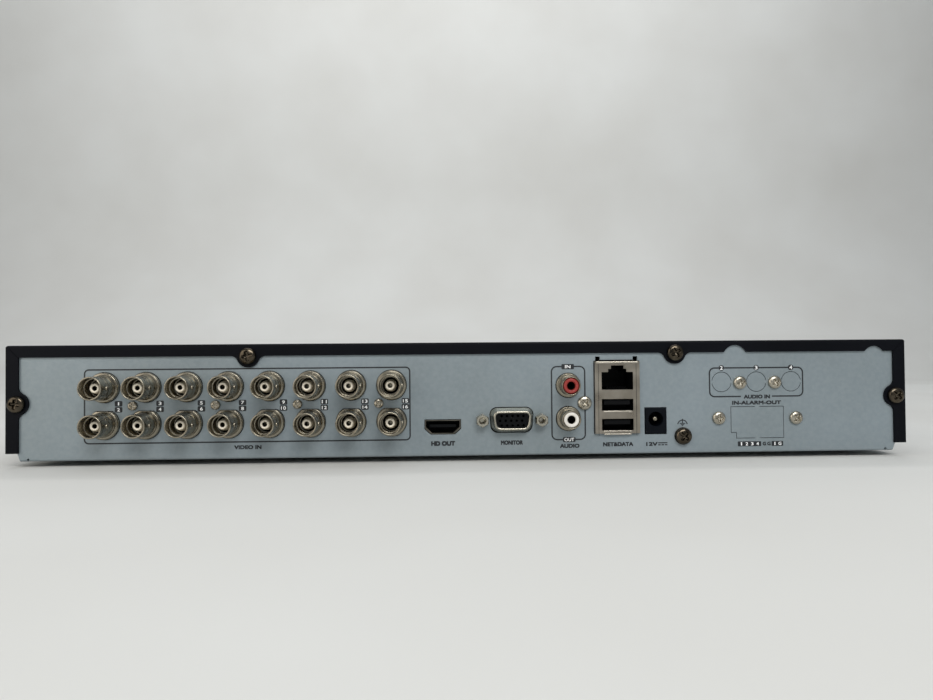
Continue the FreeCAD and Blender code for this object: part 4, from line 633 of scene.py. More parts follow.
# ---- other rear sockets -------------------------------------------------------------------------------
def build_audio_sockets(look):
    """Plated sleeves and coloured insulators of the two audio sockets."""
    nickel = bpy.data.materials["brass_nickel_plated"]
    reach = node_box("audio_jack_sleeves")[1][1] - PANEL_Y
    centres = [panel_point(name) for name in ("audio_in_pin", "audio_out_pin")]
    sleeve = [(3.2, -8.0), (3.2, reach - 0.9), (3.45, reach - 0.25), (3.7, reach), (4.0, reach - 0.35),
              (4.0, 5.2), (3.9, 5.05), (3.9, 4.85), (4.0, 4.7), (4.0, 1.2), (4.9, 1.2), (5.2, 0.85),
              (5.2, -1.0), (4.0, -1.0), (4.0, -8.0)]
    part = repeated(closed_loops(turned(soft_profile(sleeve, 0.15, 3), 64)), centres)
    finish_piece(make_object("audio_sleeves", part, nickel, 40), "case", "nickel_plate", "audio_jack_sleeves")
    face = reach - 0.15
    ring = [(1.7, face - 6.8), (1.7, face - 0.5), (1.95, face - 0.1), (2.2, face), (2.9, face),
            (3.18, face - 0.3), (3.18, -8.0)]
    part = closed_loops(turned(soft_profile(ring, 0.2, 3), 56))
    for name, node, slot, colour, centre in (
            ("audio_in_insulator", "audio_in_ring", "audio_red", look.audio_in_colour, centres[0]),
            ("audio_out_insulator", "audio_out_ring", "audio_white", look.audio_out_colour, centres[1])):
        plastic = smooth_plastic("abs_polished_" + slot, colour, 0.3)
        finish_piece(make_object(name, repeated(part, [centre]), plastic), "case", slot, node)
    # the springs line the insulators' holes in near black: painted shade that stands for the dark inside of
    # each hole
    spring = [(1.35, face - 6.6), (1.35, face - 1.1), (1.66, face - 0.9), (1.66, face - 6.8)]
    part = repeated(closed_loops(turned(spring, 32)), centres)
    dark = plated_metal("spring_bronze_darkened", srgb("#0d0c0a"), srgb("#17150f"), 0.5, 0.6)
    finish_piece(make_object("audio_pin_springs", part, dark), "case", "black_moulding")


def monitor_section(grow):
    """The D outline: a trapezium wider at its top, corners rounded."""
    half, tall, lean = 8.3 + grow, 4.15 + grow, 0.9
    corners = [(-half, tall), (half, tall), (half - lean, -tall), (-half + lean, -tall)]
    return soft_loop(corners, 2.9 + 0.8 * grow, 6)


def build_monitor_socket():
    """Drawn D shell with a broad rolled lip, and the two hexagon nuts beside it."""
    centre = panel_point("monitor_out")
    reach = MOUNTS["monitor_out"][1] - PANEL_Y
    stations = [(-2.0, -0.2), (-0.9, 1.05), (0.1, 1.1), (0.6, 0.95), (1.2, 0.72), (1.9, 0.5), (2.6, 0.32),
                (3.4, 0.13), (reach - 0.9, 0.03), (reach - 0.5, -0.04), (reach - 0.18, -0.2), (reach, -0.5),
                (reach - 0.08, -0.85), (reach - 0.35, -1.1), (reach - 1.2, -1.15), (0.5, -1.15)]
    loops = np.array([facing_rear(monitor_section(grow), depth) for depth, grow in stations])
    shell = repeated(closed_loops(loops), [centre])
    nickel = plated_metal("steel_nickel_plated", srgb("#9f9b8e"), srgb("#b3afa3"), 0.2, 0.3)
    made = make_object("monitor_shell", shell, nickel, 50)
    finish_piece(made, "case", "nickel_plate", "monitor_socket_shell")

    def hexagon(angle):
        return 2.5 / np.cos((angle + np.pi / 6) % (np.pi / 3) - np.pi / 6)

    tall = node_box("monitor_jack_nuts")[1][1] - PANEL_Y
    thread = [(1.3 - 0.22 * (k % 2), 0.6 + 0.32 * k) for k in range(int((tall - 1.0) / 0.32))]
    profile = thread + [(1.35, tall - 0.25), (1.6, tall), (2.35, tall), (2.95, tall - 0.5), (2.95, 0.0),
                        (1.55, -0.5), (1.55, -7.0)]
    nut = closed_loops(turned(profile, 72, hexagon))
    nuts = [((low + high) / 2) * np.array([1, 0, 1]) + np.array([0, PANEL_Y, 0])
            for low, high in separate_boxes("monitor_jack_nuts")]
    made = make_object("monitor_nuts", repeated(nut, nuts), nickel, 30)
    finish_piece(made, "case", "nickel_plate", "monitor_jack_nuts")


def build_shield_lips():
    """Rolled lips under the two data openings, the sprung tab under the can and the can's bent top edge, as
    rounded bars along X in a lighter copy of the can's tin: a painted highlight.
    Dark lines of painted shade stand for the folds near its sides and for the gap above it."""
    middle, face, _ = MOUNTS["network"]
    low, top = (corner[2] for corner in node_box("network_usb_shield"))
    levels = [MOUNTS["data_upper"][2] - 2.95, MOUNTS["data_lower"][2] - 2.95, MOUNTS["data_lower"][2] - 4.05]
    rolled = [(face - 0.3, 0.0), (face + 0.05, 0.0), (face + 0.17, 0.08), (face + 0.22, 0.2)]
    parts = [shifted(padded_block(wide, tall, tall * 0.45, rolled), (middle, 0, level))
             for level, (wide, tall) in zip(levels, ((12.6, 0.85), (12.6, 0.85), (11.8, 0.6)))]
    bent = [(face - 0.3, 0.0), (face + 0.05, 0.0), (face + 0.2, 0.1), (face + 0.26, 0.3)]
    parts.append(shifted(padded_block(18.2, 0.9, 0.3, bent), (middle, 0, top - 0.55)))
    # a lighter copy of the can's tin (#857e74 on the can): painted highlight on the lips and the bent edge
    steel = plated_metal("steel_tin_plated_worn", srgb("#a9a398"), srgb("#bcb6aa"), 0.24, 0.34)
    finish_piece(make_object("shield_lips", joined(parts), steel), "case", "tin_plate")
    # dark lines of painted shade: the shade in the folds near the can's sides, and a strip over the can that
    # stands for the shadowed gap between the panel's cut-out and the can
    fold, gap = 8.1, 7.6
    lines = [stroke([[middle + side * fold, low + 0.5], [middle + side * fold, top - 1.1]], 0.16,
                    face - 0.02, face + 0.02) for side in (-1, 1)]
    lines.append(stroke([[middle - gap, top + 0.35], [middle + gap, top + 0.35]], 0.6, PANEL_Y + INK_LOW,
                        PANEL_Y + INK_HIGH))
    dark = smooth_plastic("gap_edge_oxidised", srgb("#0a0b0e"), 0.6, 0.1)
    finish_piece(make_object("shield_gaps", joined(lines), dark), "case", "black_moulding")


def build_screws(look):
    """Dark pan heads on the cover and the ground point, bright ones elsewhere on the panel."""
    dark = plated_metal("steel_black_nickel", look.dark_screw_colour, look.dark_screw_tint, 0.16, 0.28)
    bright = plated_metal("steel_bright_zinc", srgb("#a19b8d"), srgb("#b8b2a4"), 0.24, 0.32)
    finish_piece(screw_group("cover_fixing_screws", "cover_screws", 2.085, 3.4, dark, 0.8),
                 "cover", "black_nickel", "cover_screws")
    finish_piece(screw_group("ground_point_screw", "ground_screw", 2.085, 3.5, dark, 0.8),
                 "ground_screw", "black_nickel", "ground_screw")
    for name, node, tall in (("socket_block_screws", "bnc_block_screws", 1.17),
                             ("blanking_screws", "blank_screws", 1.68),
                             ("audio_screw", "audio_jack_screw", 1.8)):
        finish_piece(screw_group(name, node, tall, 2.5, bright), "case", "bright_zinc", node)
    paint(dark, "ground_washer")
    paint(bright, "bezel_screws", "board_screws", "drive_screws")


# ---- printed legends ----------------------------------------------------------------------------------
# levels of the ink above the panel: its underside, the lines and words, and the figures on the tags
INK_LOW, INK_HIGH, INK_TOP = 0.005, 0.035, 0.06
INK_THICK = 0.03       # a letter
COPY_STEP = 0.004      # between the copies that make a letter bold, so that none lies on another
LINE_WIDE = 0.6        # printed frames
TAG_ASIDE = 5.8        # number tags, to the right of the sockets
TAG_DROPS = (-0.9, 1.6)   # upper and lower tag of a pair, from between the rows


def on_panel(across, drop):
    """A place on the rear panel: across is to the right seen from behind, drop is below the cover's top."""
    return np.array([-across, TOP_Z - drop])


def letters(text, across, drop, wide, tall, bold=0.1, level=INK_HIGH):
    """Raised text fitted to a width and a height on the rear panel, as a closed surface in millimetres.
    Bold strokes are five copies: four are moved by that much along the diagonals, each at its own level."""
    curve = bpy.data.curves.new("text", "FONT")
    curve.body = text
    curve.extrude = 0.02
    curve.resolution_u = 3
    writer = bpy.data.objects.new("text", curve)
    bpy.context.scene.collection.objects.link(writer)
    bpy.context.view_layer.update()
    mesh = bpy.data.meshes.new_from_object(writer)
    bpy.data.objects.remove(writer)
    flat = np.empty(len(mesh.vertices) * 3)
    mesh.vertices.foreach_get("co", flat)
    flat = flat.reshape(-1, 3)
    mesh.calc_loop_triangles()
    triangles = np.empty(len(mesh.loop_triangles) * 3, int)
    mesh.loop_triangles.foreach_get("vertices", triangles)
    triangles = triangles.reshape(-1, 3)
    bpy.data.meshes.remove(mesh)
    low, high = flat.min(0), flat.max(0)
    local = (flat - (low + high) / 2) / np.maximum(high - low, 1e-6)
    centre = on_panel(across, drop)
    points = np.stack([centre[0] - local[:, 0] * (wide - 2 * bold),
                       PANEL_Y + level + (local[:, 2] - 0.5) * INK_THICK,
                       centre[1] + local[:, 1] * (tall - 2 * bold)], -1)
    shifts = [(0.0, -COPY_STEP, 0.0)]
    shifts += [(x * bold, COPY_STEP * (1.5 + x + 0.5 * z), z * bold) for x in (-1, 1) for z in (-1, 1)]
    return repeated(outward(points, np.hstack([triangles, triangles[:, 2:]])), shifts)


def frame_outline(left, right, top, low, radius):
    """The outline of a printed box with round corners."""
    return rounded_outline(right - left, low - top, radius) + on_panel((left + right) / 2, (top + low) / 2)


def panel_frame(*sides):
    """A printed box, as one closed line."""
    return stroke(frame_outline(*sides), LINE_WIDE, PANEL_Y + INK_LOW, PANEL_Y + INK_HIGH, closed=True)


def open_frame(sides, gap_left, gap_right):
    """A printed box with a gap in its lower side: a line from one side of the gap round to the other."""
    outline = frame_outline(*sides)
    path = np.roll(outline, -3 * len(outline) // 4, 0)
    floor = path[:, 1].min()
    path = np.vstack([[-gap_left, floor], path, [-gap_right, floor]])
    return stroke(path, LINE_WIDE, PANEL_Y + INK_LOW, PANEL_Y + INK_HIGH)


def tag(across, drop, wide, tall, radius, proud=0.008):
    """A solid printed tag with round corners, standing that much above the printed lines."""
    part = padded_block(wide, tall, radius, [(PANEL_Y + INK_LOW, 0), (PANEL_Y + INK_HIGH + proud, 0)])
    x, z = on_panel(across, drop)
    return shifted(part, (x, 0, z))


def bar(across, drop, wide, tall, proud=0.004):
    """A plain printed bar."""
    return tag(across, drop, wide, tall, min(wide, tall) * 0.1, proud)


def arc_path(across, drop, radius, start, end):
    """Points of an arc about a place on the panel, angles in degrees from the right."""
    angle = np.radians(np.linspace(start, end, 16))
    centre = on_panel(across, drop)
    return np.stack([centre[0] - radius * np.cos(angle), centre[1] + radius * np.sin(angle)], -1)


def number_places():
    """Middle of each socket's number as (across, drop): to its right, in pairs between the two rows."""
    centres = camera_socket_centres()
    middle_drop = TOP_Z - (centres[0, 2] + centres[1, 2]) / 2
    return [(TAG_ASIDE - centre[0], middle_drop + TAG_DROPS[index % 2])
            for index, centre in enumerate(centres)]


def legend_lines():
    """Boxes, leader lines and signs printed in black."""
    lines = [panel_frame(-158.5, -23.7, 10.3, 40.9, 1.7), panel_frame(36.5, 50.75, 10.6, 41.65, 2.2),
             open_frame((104.7, 145.4, 11.8, 24.1, 2.1), 118.3, 131.85)]
    # earth sign: a stem down to three bars, under an arch
    lines += [bar(92.7, 34.4, 0.42, 2.0, 0.0), bar(92.7, 35.35, 2.4, 0.36), bar(92.7, 35.85, 1.5, 0.34),
              bar(92.7, 36.3, 0.7, 0.32)]
    lines.append(stroke(arc_path(92.7, 36.0, 2.05, 8.0, 172.0), 0.45, PANEL_Y + INK_LOW,
                        PANEL_Y + INK_HIGH + 0.002))
    # direct current sign: a long bar over three short ones
    lines += [bar(84.05, 43.55, 4.0, 0.46)]
    lines += [bar(82.6 + 1.45 * k, 44.4, 1.1, 0.46) for k in range(3)]
    return lines


def legend_tags():
    """Solid black tags that carry pale figures."""
    tags = [tag(*place, 3.15, 2.3, 0.5) for place in number_places()]
    tags += [tag(43.5, 10.65, 5.4, 2.25, 0.5), tag(43.85, 41.67, 5.4, 2.15, 0.5)]
    tags += [tag(across, 11.8, 2.4, 2.4, 1.15) for across in (109.9, 125.1, 140.25)]
    tags += [tag(121.72, 44.45, 10.15, 2.1, 0.25), tag(133.9, 44.45, 5.05, 2.1, 0.25)]
    return tags


def build_legends(look):
    """Everything printed on the rear panel: black boxes, tags and words, and pale figures on the tags."""
    black = printed_ink("epoxy_ink_black", look.ink_dark)
    pale = printed_ink("epoxy_ink_pale", look.ink_pale)
    words = [("VIDEO IN", -91.45, 43.15, 11.3, 1.7, 0.13), ("HD OUT", -9.8, 42.65, 10.2, 2.1, 0.2),
             ("MONITOR", 19.35, 42.65, 9.4, 1.9, 0.13), ("AUDIO", 44.0, 44.35, 8.4, 1.8, 0.14),
             ("NET&DATA", 64.8, 43.9, 13.0, 1.8, 0.14), ("12V", 79.35, 44.0, 5.0, 1.7, 0.14),
             ("AUDIO IN", 125.25, 24.25, 11.5, 1.7, 0.13), ("IN-ALARM-OUT", 125.1, 26.8, 21.4, 1.7, 0.13),
             ("G", 128.2, 44.45, 1.5, 1.6, 0.1), ("G", 130.2, 44.45, 1.5, 1.6, 0.1)]
    dark = legend_lines() + legend_tags() + [letters(*word) for word in words]
    finish_piece(make_object("printed_legend_black", joined(dark), black), "case", "black_moulding")
    thin = (0.045, INK_TOP)
    figures = [(str(k + 1), *place, (0.5, 1.15, 2.1)[(k > 0) + (k > 8)], 1.4, *thin)
               for k, place in enumerate(number_places())]
    figures += [("IN", 43.5, 10.65, 2.4, 1.4, *thin), ("OUT", 43.85, 41.67, 4.2, 1.45, *thin)]
    figures += [(str(k + 2), 109.9 + 15.2 * k, 11.8, 1.2, 1.6, *thin) for k in range(3)]
    figures += [(str(k + 1), 118.2 + 2.35 * k, 44.45, 1.1 if k else 0.5, 1.4, *thin) for k in range(4)]
    figures += [("1", 132.8, 44.45, 0.5, 1.4, *thin), ("G", 135.0, 44.45, 1.3, 1.4, *thin)]
    finish_piece(make_object("printed_legend_pale", joined([letters(*word) for word in figures]), pale),
                 "case", "audio_white")


# ---- inside -------------------------------------------------------------------------------------------
def turned_up(profile, columns=40):
    """As turned, with its axis along Z."""
    loops = turned(profile, columns)
    return np.stack([loops[..., 0], -loops[..., 2], loops[..., 1]], -1)


def capacitor_can(radius, tall):
    """An electrolytic can: sleeve with a rolled groove near the foot and a vented top, turned about Z."""
    profile = [(radius - 0.3, 0.0), (radius, 0.25), (radius, 0.9), (radius - 0.45, 1.4), (radius - 0.45, 1.6),
               (radius, 2.1), (radius, tall - 0.45), (radius - 0.4, tall - 0.02), (radius - 0.9, tall - 0.02),
               (radius - 1.0, tall - 0.25), (0.9, tall - 0.25), (0.7, tall - 0.45)]
    return closed_loops(turned_up(soft_profile(profile, 0.25, 3)))


def build_board(look):
    """Small parts in rows on the main board, and the supply's cans and coils."""
    boxes = separate_boxes("coils_and_capacitors", (1, 0))
    cans = [box for box in boxes if box[1][2] - box[0][2] > 9]
    coils = [box for box in boxes if box[1][2] - box[0][2] <= 9]
    sleeve = brushed_metal("aluminium_can_drawn", srgb("#9aa0a4"), srgb("#c3c7c9"), (0.2, 0.2, 3.0), 0.32)
    parts = [shifted(capacitor_can((high[0] - low[0]) / 2, high[2] - low[2]),
                     ((low[0] + high[0]) / 2, (low[1] + high[1]) / 2, low[2])) for low, high in cans]
    made = make_object("supply_cans", joined(parts), sleeve)
    finish_piece(made, "case", "can_aluminium", "coils_and_capacitors")
    ferrite = moulded_plastic("ferrite_pressed", srgb("#2b2b2d"), srgb("#38383a"), 0.6, 0.5, 0.03)
    made = make_object("supply_coils", joined([coil_surface(low, high) for low, high in coils]), ferrite)
    finish_piece(made, "case", "chip_epoxy", "coils_and_capacitors")
    bodies, ends = small_parts()
    ceramic = smooth_plastic("ceramic_chip_fired", srgb("#4a3d30"), 0.5)
    finish_piece(make_object("small_part_bodies", bodies, ceramic), "case", "chip_epoxy")
    tin = plated_metal("tin_plated_terminal", srgb("#a9aaa6"), srgb("#c8c9c5"), 0.28, 0.4)
    finish_piece(make_object("small_part_ends", ends, tin), "case", "tin_plate")


def coil_surface(low, high):
    """A moulded power coil: a rounded square block with a round boss sunk in its top."""
    size, middle = high - low, (low + high) / 2
    outline = [rounded_outline(size[0] - 2 * inset, size[1] - 2 * inset, max(2.0 - inset, 0.3), 8)
               for inset in (0.3, 0.0, 0.0, 0.35)]
    heights = [0.0, 0.3, size[2] - 0.4, size[2]]
    angle = np.arctan2(outline[0][:, 1], outline[0][:, 0])
    for radius, sunk in ((4.3, 0.0), (4.1, 0.5), (3.8, 0.5), (3.6, 0.1)):
        outline.append(radius * np.column_stack([np.cos(angle), np.sin(angle)]))
        heights.append(size[2] - sunk)
    loops = [facing_up(ring, level) for ring, level in zip(outline, heights)]
    return shifted(closed_loops(np.array(loops)), (middle[0], middle[1], low[2]))


def small_parts():
    """Chip parts on a grid of cells over the free board, as two surfaces: their bodies and their metal ends.
    A cell is filled where the fraction of 43758 sin(12.9 i + 78.2 j) is over 1/2, along Y over 3/4."""
    low, high = node_box("mainboard")
    across = np.arange(low[0] + 4, high[0] - 4, 4.2)
    along = np.arange(low[1] + 4, high[1] - 16, 3.6)
    i, j = np.meshgrid(np.arange(len(across)), np.arange(len(along)), indexing="ij")
    chance = (np.sin(12.9898 * i + 78.233 * j) * 43758.5453) % 1.0
    centre = np.stack([across[i], along[j]], -1)
    free = chance > 0.5
    taken = {"board_chips": (1, 0), "coils_and_capacitors": (1, 0), "board_headers": (0, 1),
             "board_screws": (1, 0)}
    taken.update(dict.fromkeys(("heatsink", "processor", "clock_battery", "buzzer", "data_lead", "power_lead",
                                "front_ribbon", "fan_frame"), ()))
    for name, axes in taken.items():
        for box_low, box_high in separate_boxes(name, axes):
            inside = ((centre > box_low[:2] - 2.0) & (centre < box_high[:2] + 2.0)).all(-1)
            if box_low[2] < BOARD_TOP + 4.0:
                free &= ~inside
    cut = (centre[..., 0] < low[0] + 20) & (centre[..., 1] < low[1] + 4)
    free &= ~cut
    places = centre[free]
    turn = (chance[free] * 2.0 - 1.0) > 0.5

    def blocks(half_long, half_wide, tall, shift):
        long = np.where(turn[:, None], np.array([[0.0, 1.0]]), np.array([[1.0, 0.0]]))
        wide = long[:, ::-1]
        unit = np.array([[-1, -1], [1, -1], [1, 1], [-1, 1]])
        middle = places + long * shift
        ring = middle[:, None] + unit[None, :, :1] * long[:, None] * half_long \
            + unit[None, :, 1:] * wide[:, None] * half_wide
        foot = np.concatenate([ring, np.full((*ring.shape[:2], 1), BOARD_TOP)], -1)
        top = np.concatenate([ring, np.full((*ring.shape[:2], 1), BOARD_TOP + tall)], -1)
        points = np.concatenate([foot, top], 1).reshape(-1, 3)
        cube = np.array([[0, 3, 2, 1], [4, 5, 6, 7], [0, 1, 5, 4], [1, 2, 6, 5], [2, 3, 7, 6], [3, 0, 4, 7]])
        flip = np.where(turn[:, None, None], cube[:, ::-1], cube)
        return points, (flip + 8 * np.arange(len(places))[:, None, None]).reshape(-1, 4)

    bodies = blocks(0.62, 0.42, 0.55, 0.0)
    ends = joined([blocks(0.2, 0.46, 0.6, -0.8), blocks(0.2, 0.46, 0.6, 0.8)])
    return bodies, ends


def build_drive():
    """Finish of the hard disk, with a plain label on its lid."""
    paint(cast_metal("aluminium_die_cast", srgb("#8d9092"), srgb("#a9acad")), "drive_base", "drive_actuator")
    lid = brushed_metal("stainless_lid_rolled", srgb("#9b9c9b"), srgb("#c2c3c1"), (0.04, 1.0, 1.0), 0.26)
    paint(lid, "drive_lid")
    # glass disks sputtered with a magnetic film: a mirror
    mirror = plated_metal("disk_film_sputtered", srgb("#b9babd"), srgb("#cfd0d2"), 0.03, 0.06, 12.0)
    paint(mirror, "drive_platters")
    low, high = node_box("drive_lid")
    paper = printed_ink("paper_label_matt", srgb("#dcdad3"))
    wide, deep = (high[0] - low[0]) * 0.5, (high[1] - low[1]) * 0.52
    outline = rounded_outline(wide, deep, 3.0)
    middle = (low + high) / 2
    part = closed_loops(np.array([facing_up(outline, level) for level in (0.0, 0.08)]))
    part = shifted(part, (middle[0], middle[1], high[2] - 0.02))
    finish_piece(make_object("drive_label", part, paper), "case", "audio_white")


def build_case(look):
    """Finishes of the chassis, cover, bezel, feet, sockets' bodies, board, leads and fan."""
    black = moulded_plastic("pbt_moulded_black", srgb("#101112"), srgb("#1a1b1c"), 0.42)
    glossy = smooth_plastic("nylon_moulded_black", srgb("#030406"), 0.55, 0.12)
    tin = bpy.data.materials["tin_plated_terminal"]
    paint(powder_coated_steel(look), "top_cover")
    paint(coated_zinc_sheet(look), "base_chassis")
    paint(moulded_plastic("abs_spark_textured_black", srgb("#15171a"), srgb("#1d2024"), 0.36, 0.5, 0.02),
          "front_bezel")
    paint(smoked_acrylic(), "status_window")
    paint(moulded_plastic("rubber_moulded_black", srgb("#141414"), srgb("#222222"), 0.75, 0.6, 0.03),
          "rubber_feet")
    paint(black, "bnc_block_1", "bnc_block_2", "bnc_block_3", "bnc_block_4", "audio_jack_body",
          "board_headers", "buzzer", "fan_frame", "fan_rotor")
    paint(glossy, "hd_socket_tongue", "usb_tongues", "network_socket_insert", "monitor_socket_insert",
          "processor", "board_chips")
    paint(smooth_plastic("nylon_moulded_charcoal", srgb("#04080f"), 0.5, 0.1), "power_socket_body")
    paint(bpy.data.materials["brass_nickel_plated"], "power_socket_pin")
    paint(tin, "front_usb", "clock_battery")
    paint(plated_metal("steel_nickel_flash_dark", srgb("#59564f"), srgb("#6f6b62"), 0.3, 0.4),
          "hd_socket_shell")
    paint(plated_metal("steel_tin_plated_stamped", srgb("#857e74"), srgb("#a39d92"), 0.26, 0.38, 2.0),
          "network_usb_shield")
    paint(solder_mask_board("glass_epoxy_green"), "mainboard", "drive_board", "front_board")
    paint(brushed_metal("aluminium_black_anodised", srgb("#17181a"), srgb("#2a2b2d"), (1.0, 0.05, 1.0), 0.38),
          "heatsink")
    paint(smooth_plastic("pvc_jacket_red", srgb("#7e1a14"), 0.42), "data_lead")
    paint(smooth_plastic("pvc_jacket_black", srgb("#141416"), 0.45), "power_lead")
    paint(ribbon_jacket(), "front_ribbon")
    paint(glowing_lamp("epoxy_lamp_green", srgb("#3fd06a"), look.lamp_glow), "front_lights")
    paint(plated_metal("steel_black_oxide", srgb("#2a2a2b"), srgb("#3a3a3b"), 0.3, 0.42), "fan_screws")


# ---- stage ------------------------------------------------------------------------------------------
def look_matrix(yaw, pitch, roll, place):
    """Camera placing: right, down and forward turn by roll about forward, pitch about right and yaw about
    down, where unturned right is -X, down is -Z and forward is -Y."""
    turn = Matrix.Rotation(roll, 3, "Z") @ Matrix.Rotation(pitch, 3, "X") @ Matrix.Rotation(yaw, 3, "Y")
    right, down, ahead = (np.array([-row[0], -row[2], -row[1]]) for row in turn)
    whole = Matrix.Identity(4)
    for column, axis in enumerate((right, -down, -ahead)):
        for row in range(3):
            whole[row][column] = axis[row]
    whole.translation = place
    return whole


def build_camera(shot):
    """The camera, facing the rear panel."""
    data = bpy.data.cameras.new("camera")
    data.sensor_width = 36.0
    data.lens = shot.focal_length
    data.clip_start = 0.005
    data.clip_end = 50.0
    made = bpy.data.objects.new("camera", data)
    made.matrix_world = look_matrix(shot.yaw, shot.pitch, shot.roll, tuple(shot.place))
    bpy.context.scene.collection.objects.link(made)
    bpy.context.scene.camera = made


def sweep_surface(wide, near, far, radius, tall):
    """Floor, quarter round and wall in one sheet: a profile in Y and Z carried along X."""
    angle = np.linspace(0, np.pi / 2, 24)
    bend = np.column_stack([far - radius * np.sin(angle), radius * (1 - np.cos(angle))])
    level = np.column_stack([np.linspace(near, far, 12)[:-1], np.zeros(11)])
    profile = np.vstack([level, bend, [far - radius, tall]])
    across = np.linspace(-wide / 2, wide / 2, 9)
    points = np.stack(np.broadcast_arrays(across[None, :], profile[:, :1], profile[:, 1:]), -1)
    return points.reshape(-1, 3), strip_faces(len(profile), len(across), closed=False)


def soft_box(name, place, target, wide, tall, energy, colour):
    """A rectangular light at a place, turned to a target."""
    data = bpy.data.lights.new(name, "AREA")
    data.shape = "RECTANGLE"
    data.size, data.size_y = wide, tall
    data.energy = energy
    data.color = colour
    made = bpy.data.objects.new(name, data)
    made.rotation_euler = (Vector(target) - Vector(place)).to_track_quat("-Z", "Y").to_euler()
    made.location = place
    bpy.context.scene.collection.objects.link(made)


def build_stage(look, shot):
    """Pale paper sweep, one large soft light over the camera, a weaker one from the side, and an even sky."""
    points, faces = sweep_surface(6.0, 2.5, -0.9, 0.5, 3.0)
    flipped = faces[:, ::-1] if np.cross(points[faces[0, 1]] - points[faces[0, 0]],
                                         points[faces[0, 3]] - points[faces[0, 0]])[2] < 0 else faces
    sheet = make_object("paper_sweep", (points / MM, flipped), studio_sheet(look), 80)
    soft_box("key_light", tuple(shot.key_place), (0.0, 0.15, 0.03), shot.key_size, shot.key_size * 0.6,
             shot.key_energy, (1.0, 0.985, 0.96))
    soft_box("side_light", (1.1, 1.0, 0.5), (0.1, 0.15, 0.03), 1.0, 1.0, shot.side_energy, (1.0, 0.92, 0.82))
    soft_box("top_light", (0.0, -0.1, 1.6), (0.0, 0.0, 0.0), 1.6, 1.2, shot.top_energy, (0.95, 0.98, 1.0))
    soft_box("wall_light", (0.0, -0.7, 1.5), (0.0, -1.4, 0.4), 2.0, 0.5, shot.wall_energy, (1.0, 1.0, 1.0))
    world = bpy.data.worlds.new("even_sky")
    world.use_nodes = True
    world.node_tree.nodes["Background"].inputs["Color"].default_value = srgb("#dfe5ea")
    world.node_tree.nodes["Background"].inputs["Strength"].default_value = shot.sky_strength
    bpy.context.scene.world = world
    bpy.context.scene.view_settings.view_transform = "Standard"


# ---- add-on ------------------------------------------------------------------------------------------
def colour_property(name, description, code):
    """A colour that the user can change."""
    return bpy.props.FloatVectorProperty(name=name, description=description, default=srgb(code), size=4,
                                         min=0.0, max=1.0, subtype="COLOR")


def number_property(name, description, value, low=0.0, high=1000.0, **kind):
    """A number that the user can change."""
    return bpy.props.FloatProperty(name=name, description=description, default=value, min=low, max=high,
                                   **kind)


def angle_property(name, description, degrees):
    """An angle that the user can change, given in degrees."""
    return bpy.props.FloatProperty(name=name, description=description, default=math.radians(degrees),
                                   subtype="ANGLE")


def point_property(name, description, value):
    """A place that the user can change."""
    return bpy.props.FloatVectorProperty(name=name, description=description, size=3, default=value,
                                         subtype="TRANSLATION", unit="LENGTH")


class RecorderLook(bpy.types.PropertyGroup):
    """Colours and finishes"""
    cover_colour: colour_property("Cover", "Powder coat of the cover", "#03050a")
    panel_colour: colour_property("Panel", "Coated steel of the chassis", "#7f8a8f")
    panel_tint: colour_property("Panel tint", "Second tone of the chassis steel", "#87939a")
    nickel_colour: colour_property("Nickel", "Plating of the camera sockets", "#8a8476")
    nickel_tint: colour_property("Nickel tint", "Second tone of the sockets' plating", "#989283")
    dark_screw_colour: colour_property("Dark screws", "Plating of the cover's screws", "#38332c")
    dark_screw_tint: colour_property("Dark screw tint", "Second tone of the cover's screws", "#5b5347")
    audio_in_colour: colour_property("Audio input", "Insulator of the audio input socket", "#8a2d28")
    audio_out_colour: colour_property("Audio output", "Insulator of the audio output socket", "#d9d6cf")
    ink_dark: colour_property("Dark ink", "Black printing on the panel", "#0f141a")
    ink_pale: colour_property("Pale ink", "Figures on the printed tags", "#dfe5e7")
    floor_colour: colour_property("Floor", "Paper sweep", "#d3d3d0")
    lamp_glow: number_property("Lamp glow", "Light given off by the front lamps", 1.5, 0.0, 20.0)


class RecorderShot(bpy.types.PropertyGroup):
    """Camera and lights"""
    place: point_property("Place", "Middle of the camera's lens",
                          (0.0107307, FLANGE_Y * MM + 0.296958, TOP_Z * MM - 0.0083764))
    yaw: angle_property("Yaw", "Turn about the vertical", -2.13972)
    pitch: angle_property("Pitch", "Tilt about the level", -0.99216)
    roll: angle_property("Roll", "Turn about the line of sight", -0.48887)
    focal_length: number_property("Focal length", "Lens, on a sensor 36 mm wide", 27.126, 5.0, 200.0,
                                  unit="CAMERA")
    key_place: point_property("Key light", "Middle of the main light", (-0.2, 1.25, 0.86))
    key_size: number_property("Key size", "Width of the main light", 0.8, 0.05, 5.0, unit="LENGTH")
    key_energy: number_property("Key power", "Power of the main light", 11.5, unit="POWER")
    side_energy: number_property("Side power", "Power of the side light", 7.0, unit="POWER")
    top_energy: number_property("Top power", "Power of the light overhead", 5.0, unit="POWER")
    wall_energy: number_property("Wall power", "Power of the light on the paper behind", 9.0, unit="POWER")
    sky_strength: number_property("Sky", "Strength of the even light all round", 0.33, 0.0, 10.0)


class RECORDER_OT_stage(bpy.types.Operator):
    """Build the camera, the floor and the lights"""
    bl_idname = "recorder.stage"
    bl_label = "Stage"

    def execute(self, context):
        build_camera(context.scene.recorder_shot)
        build_stage(context.scene.recorder_look, context.scene.recorder_shot)
        return {"FINISHED"}


class RECORDER_OT_camera_sockets(bpy.types.Operator):
    """Build the sixteen camera sockets with their cores and contacts"""
    bl_idname = "recorder.camera_sockets"
    bl_label = "Camera sockets"

    def execute(self, context):
        build_camera_sockets(context.scene.recorder_look)
        return {"FINISHED"}


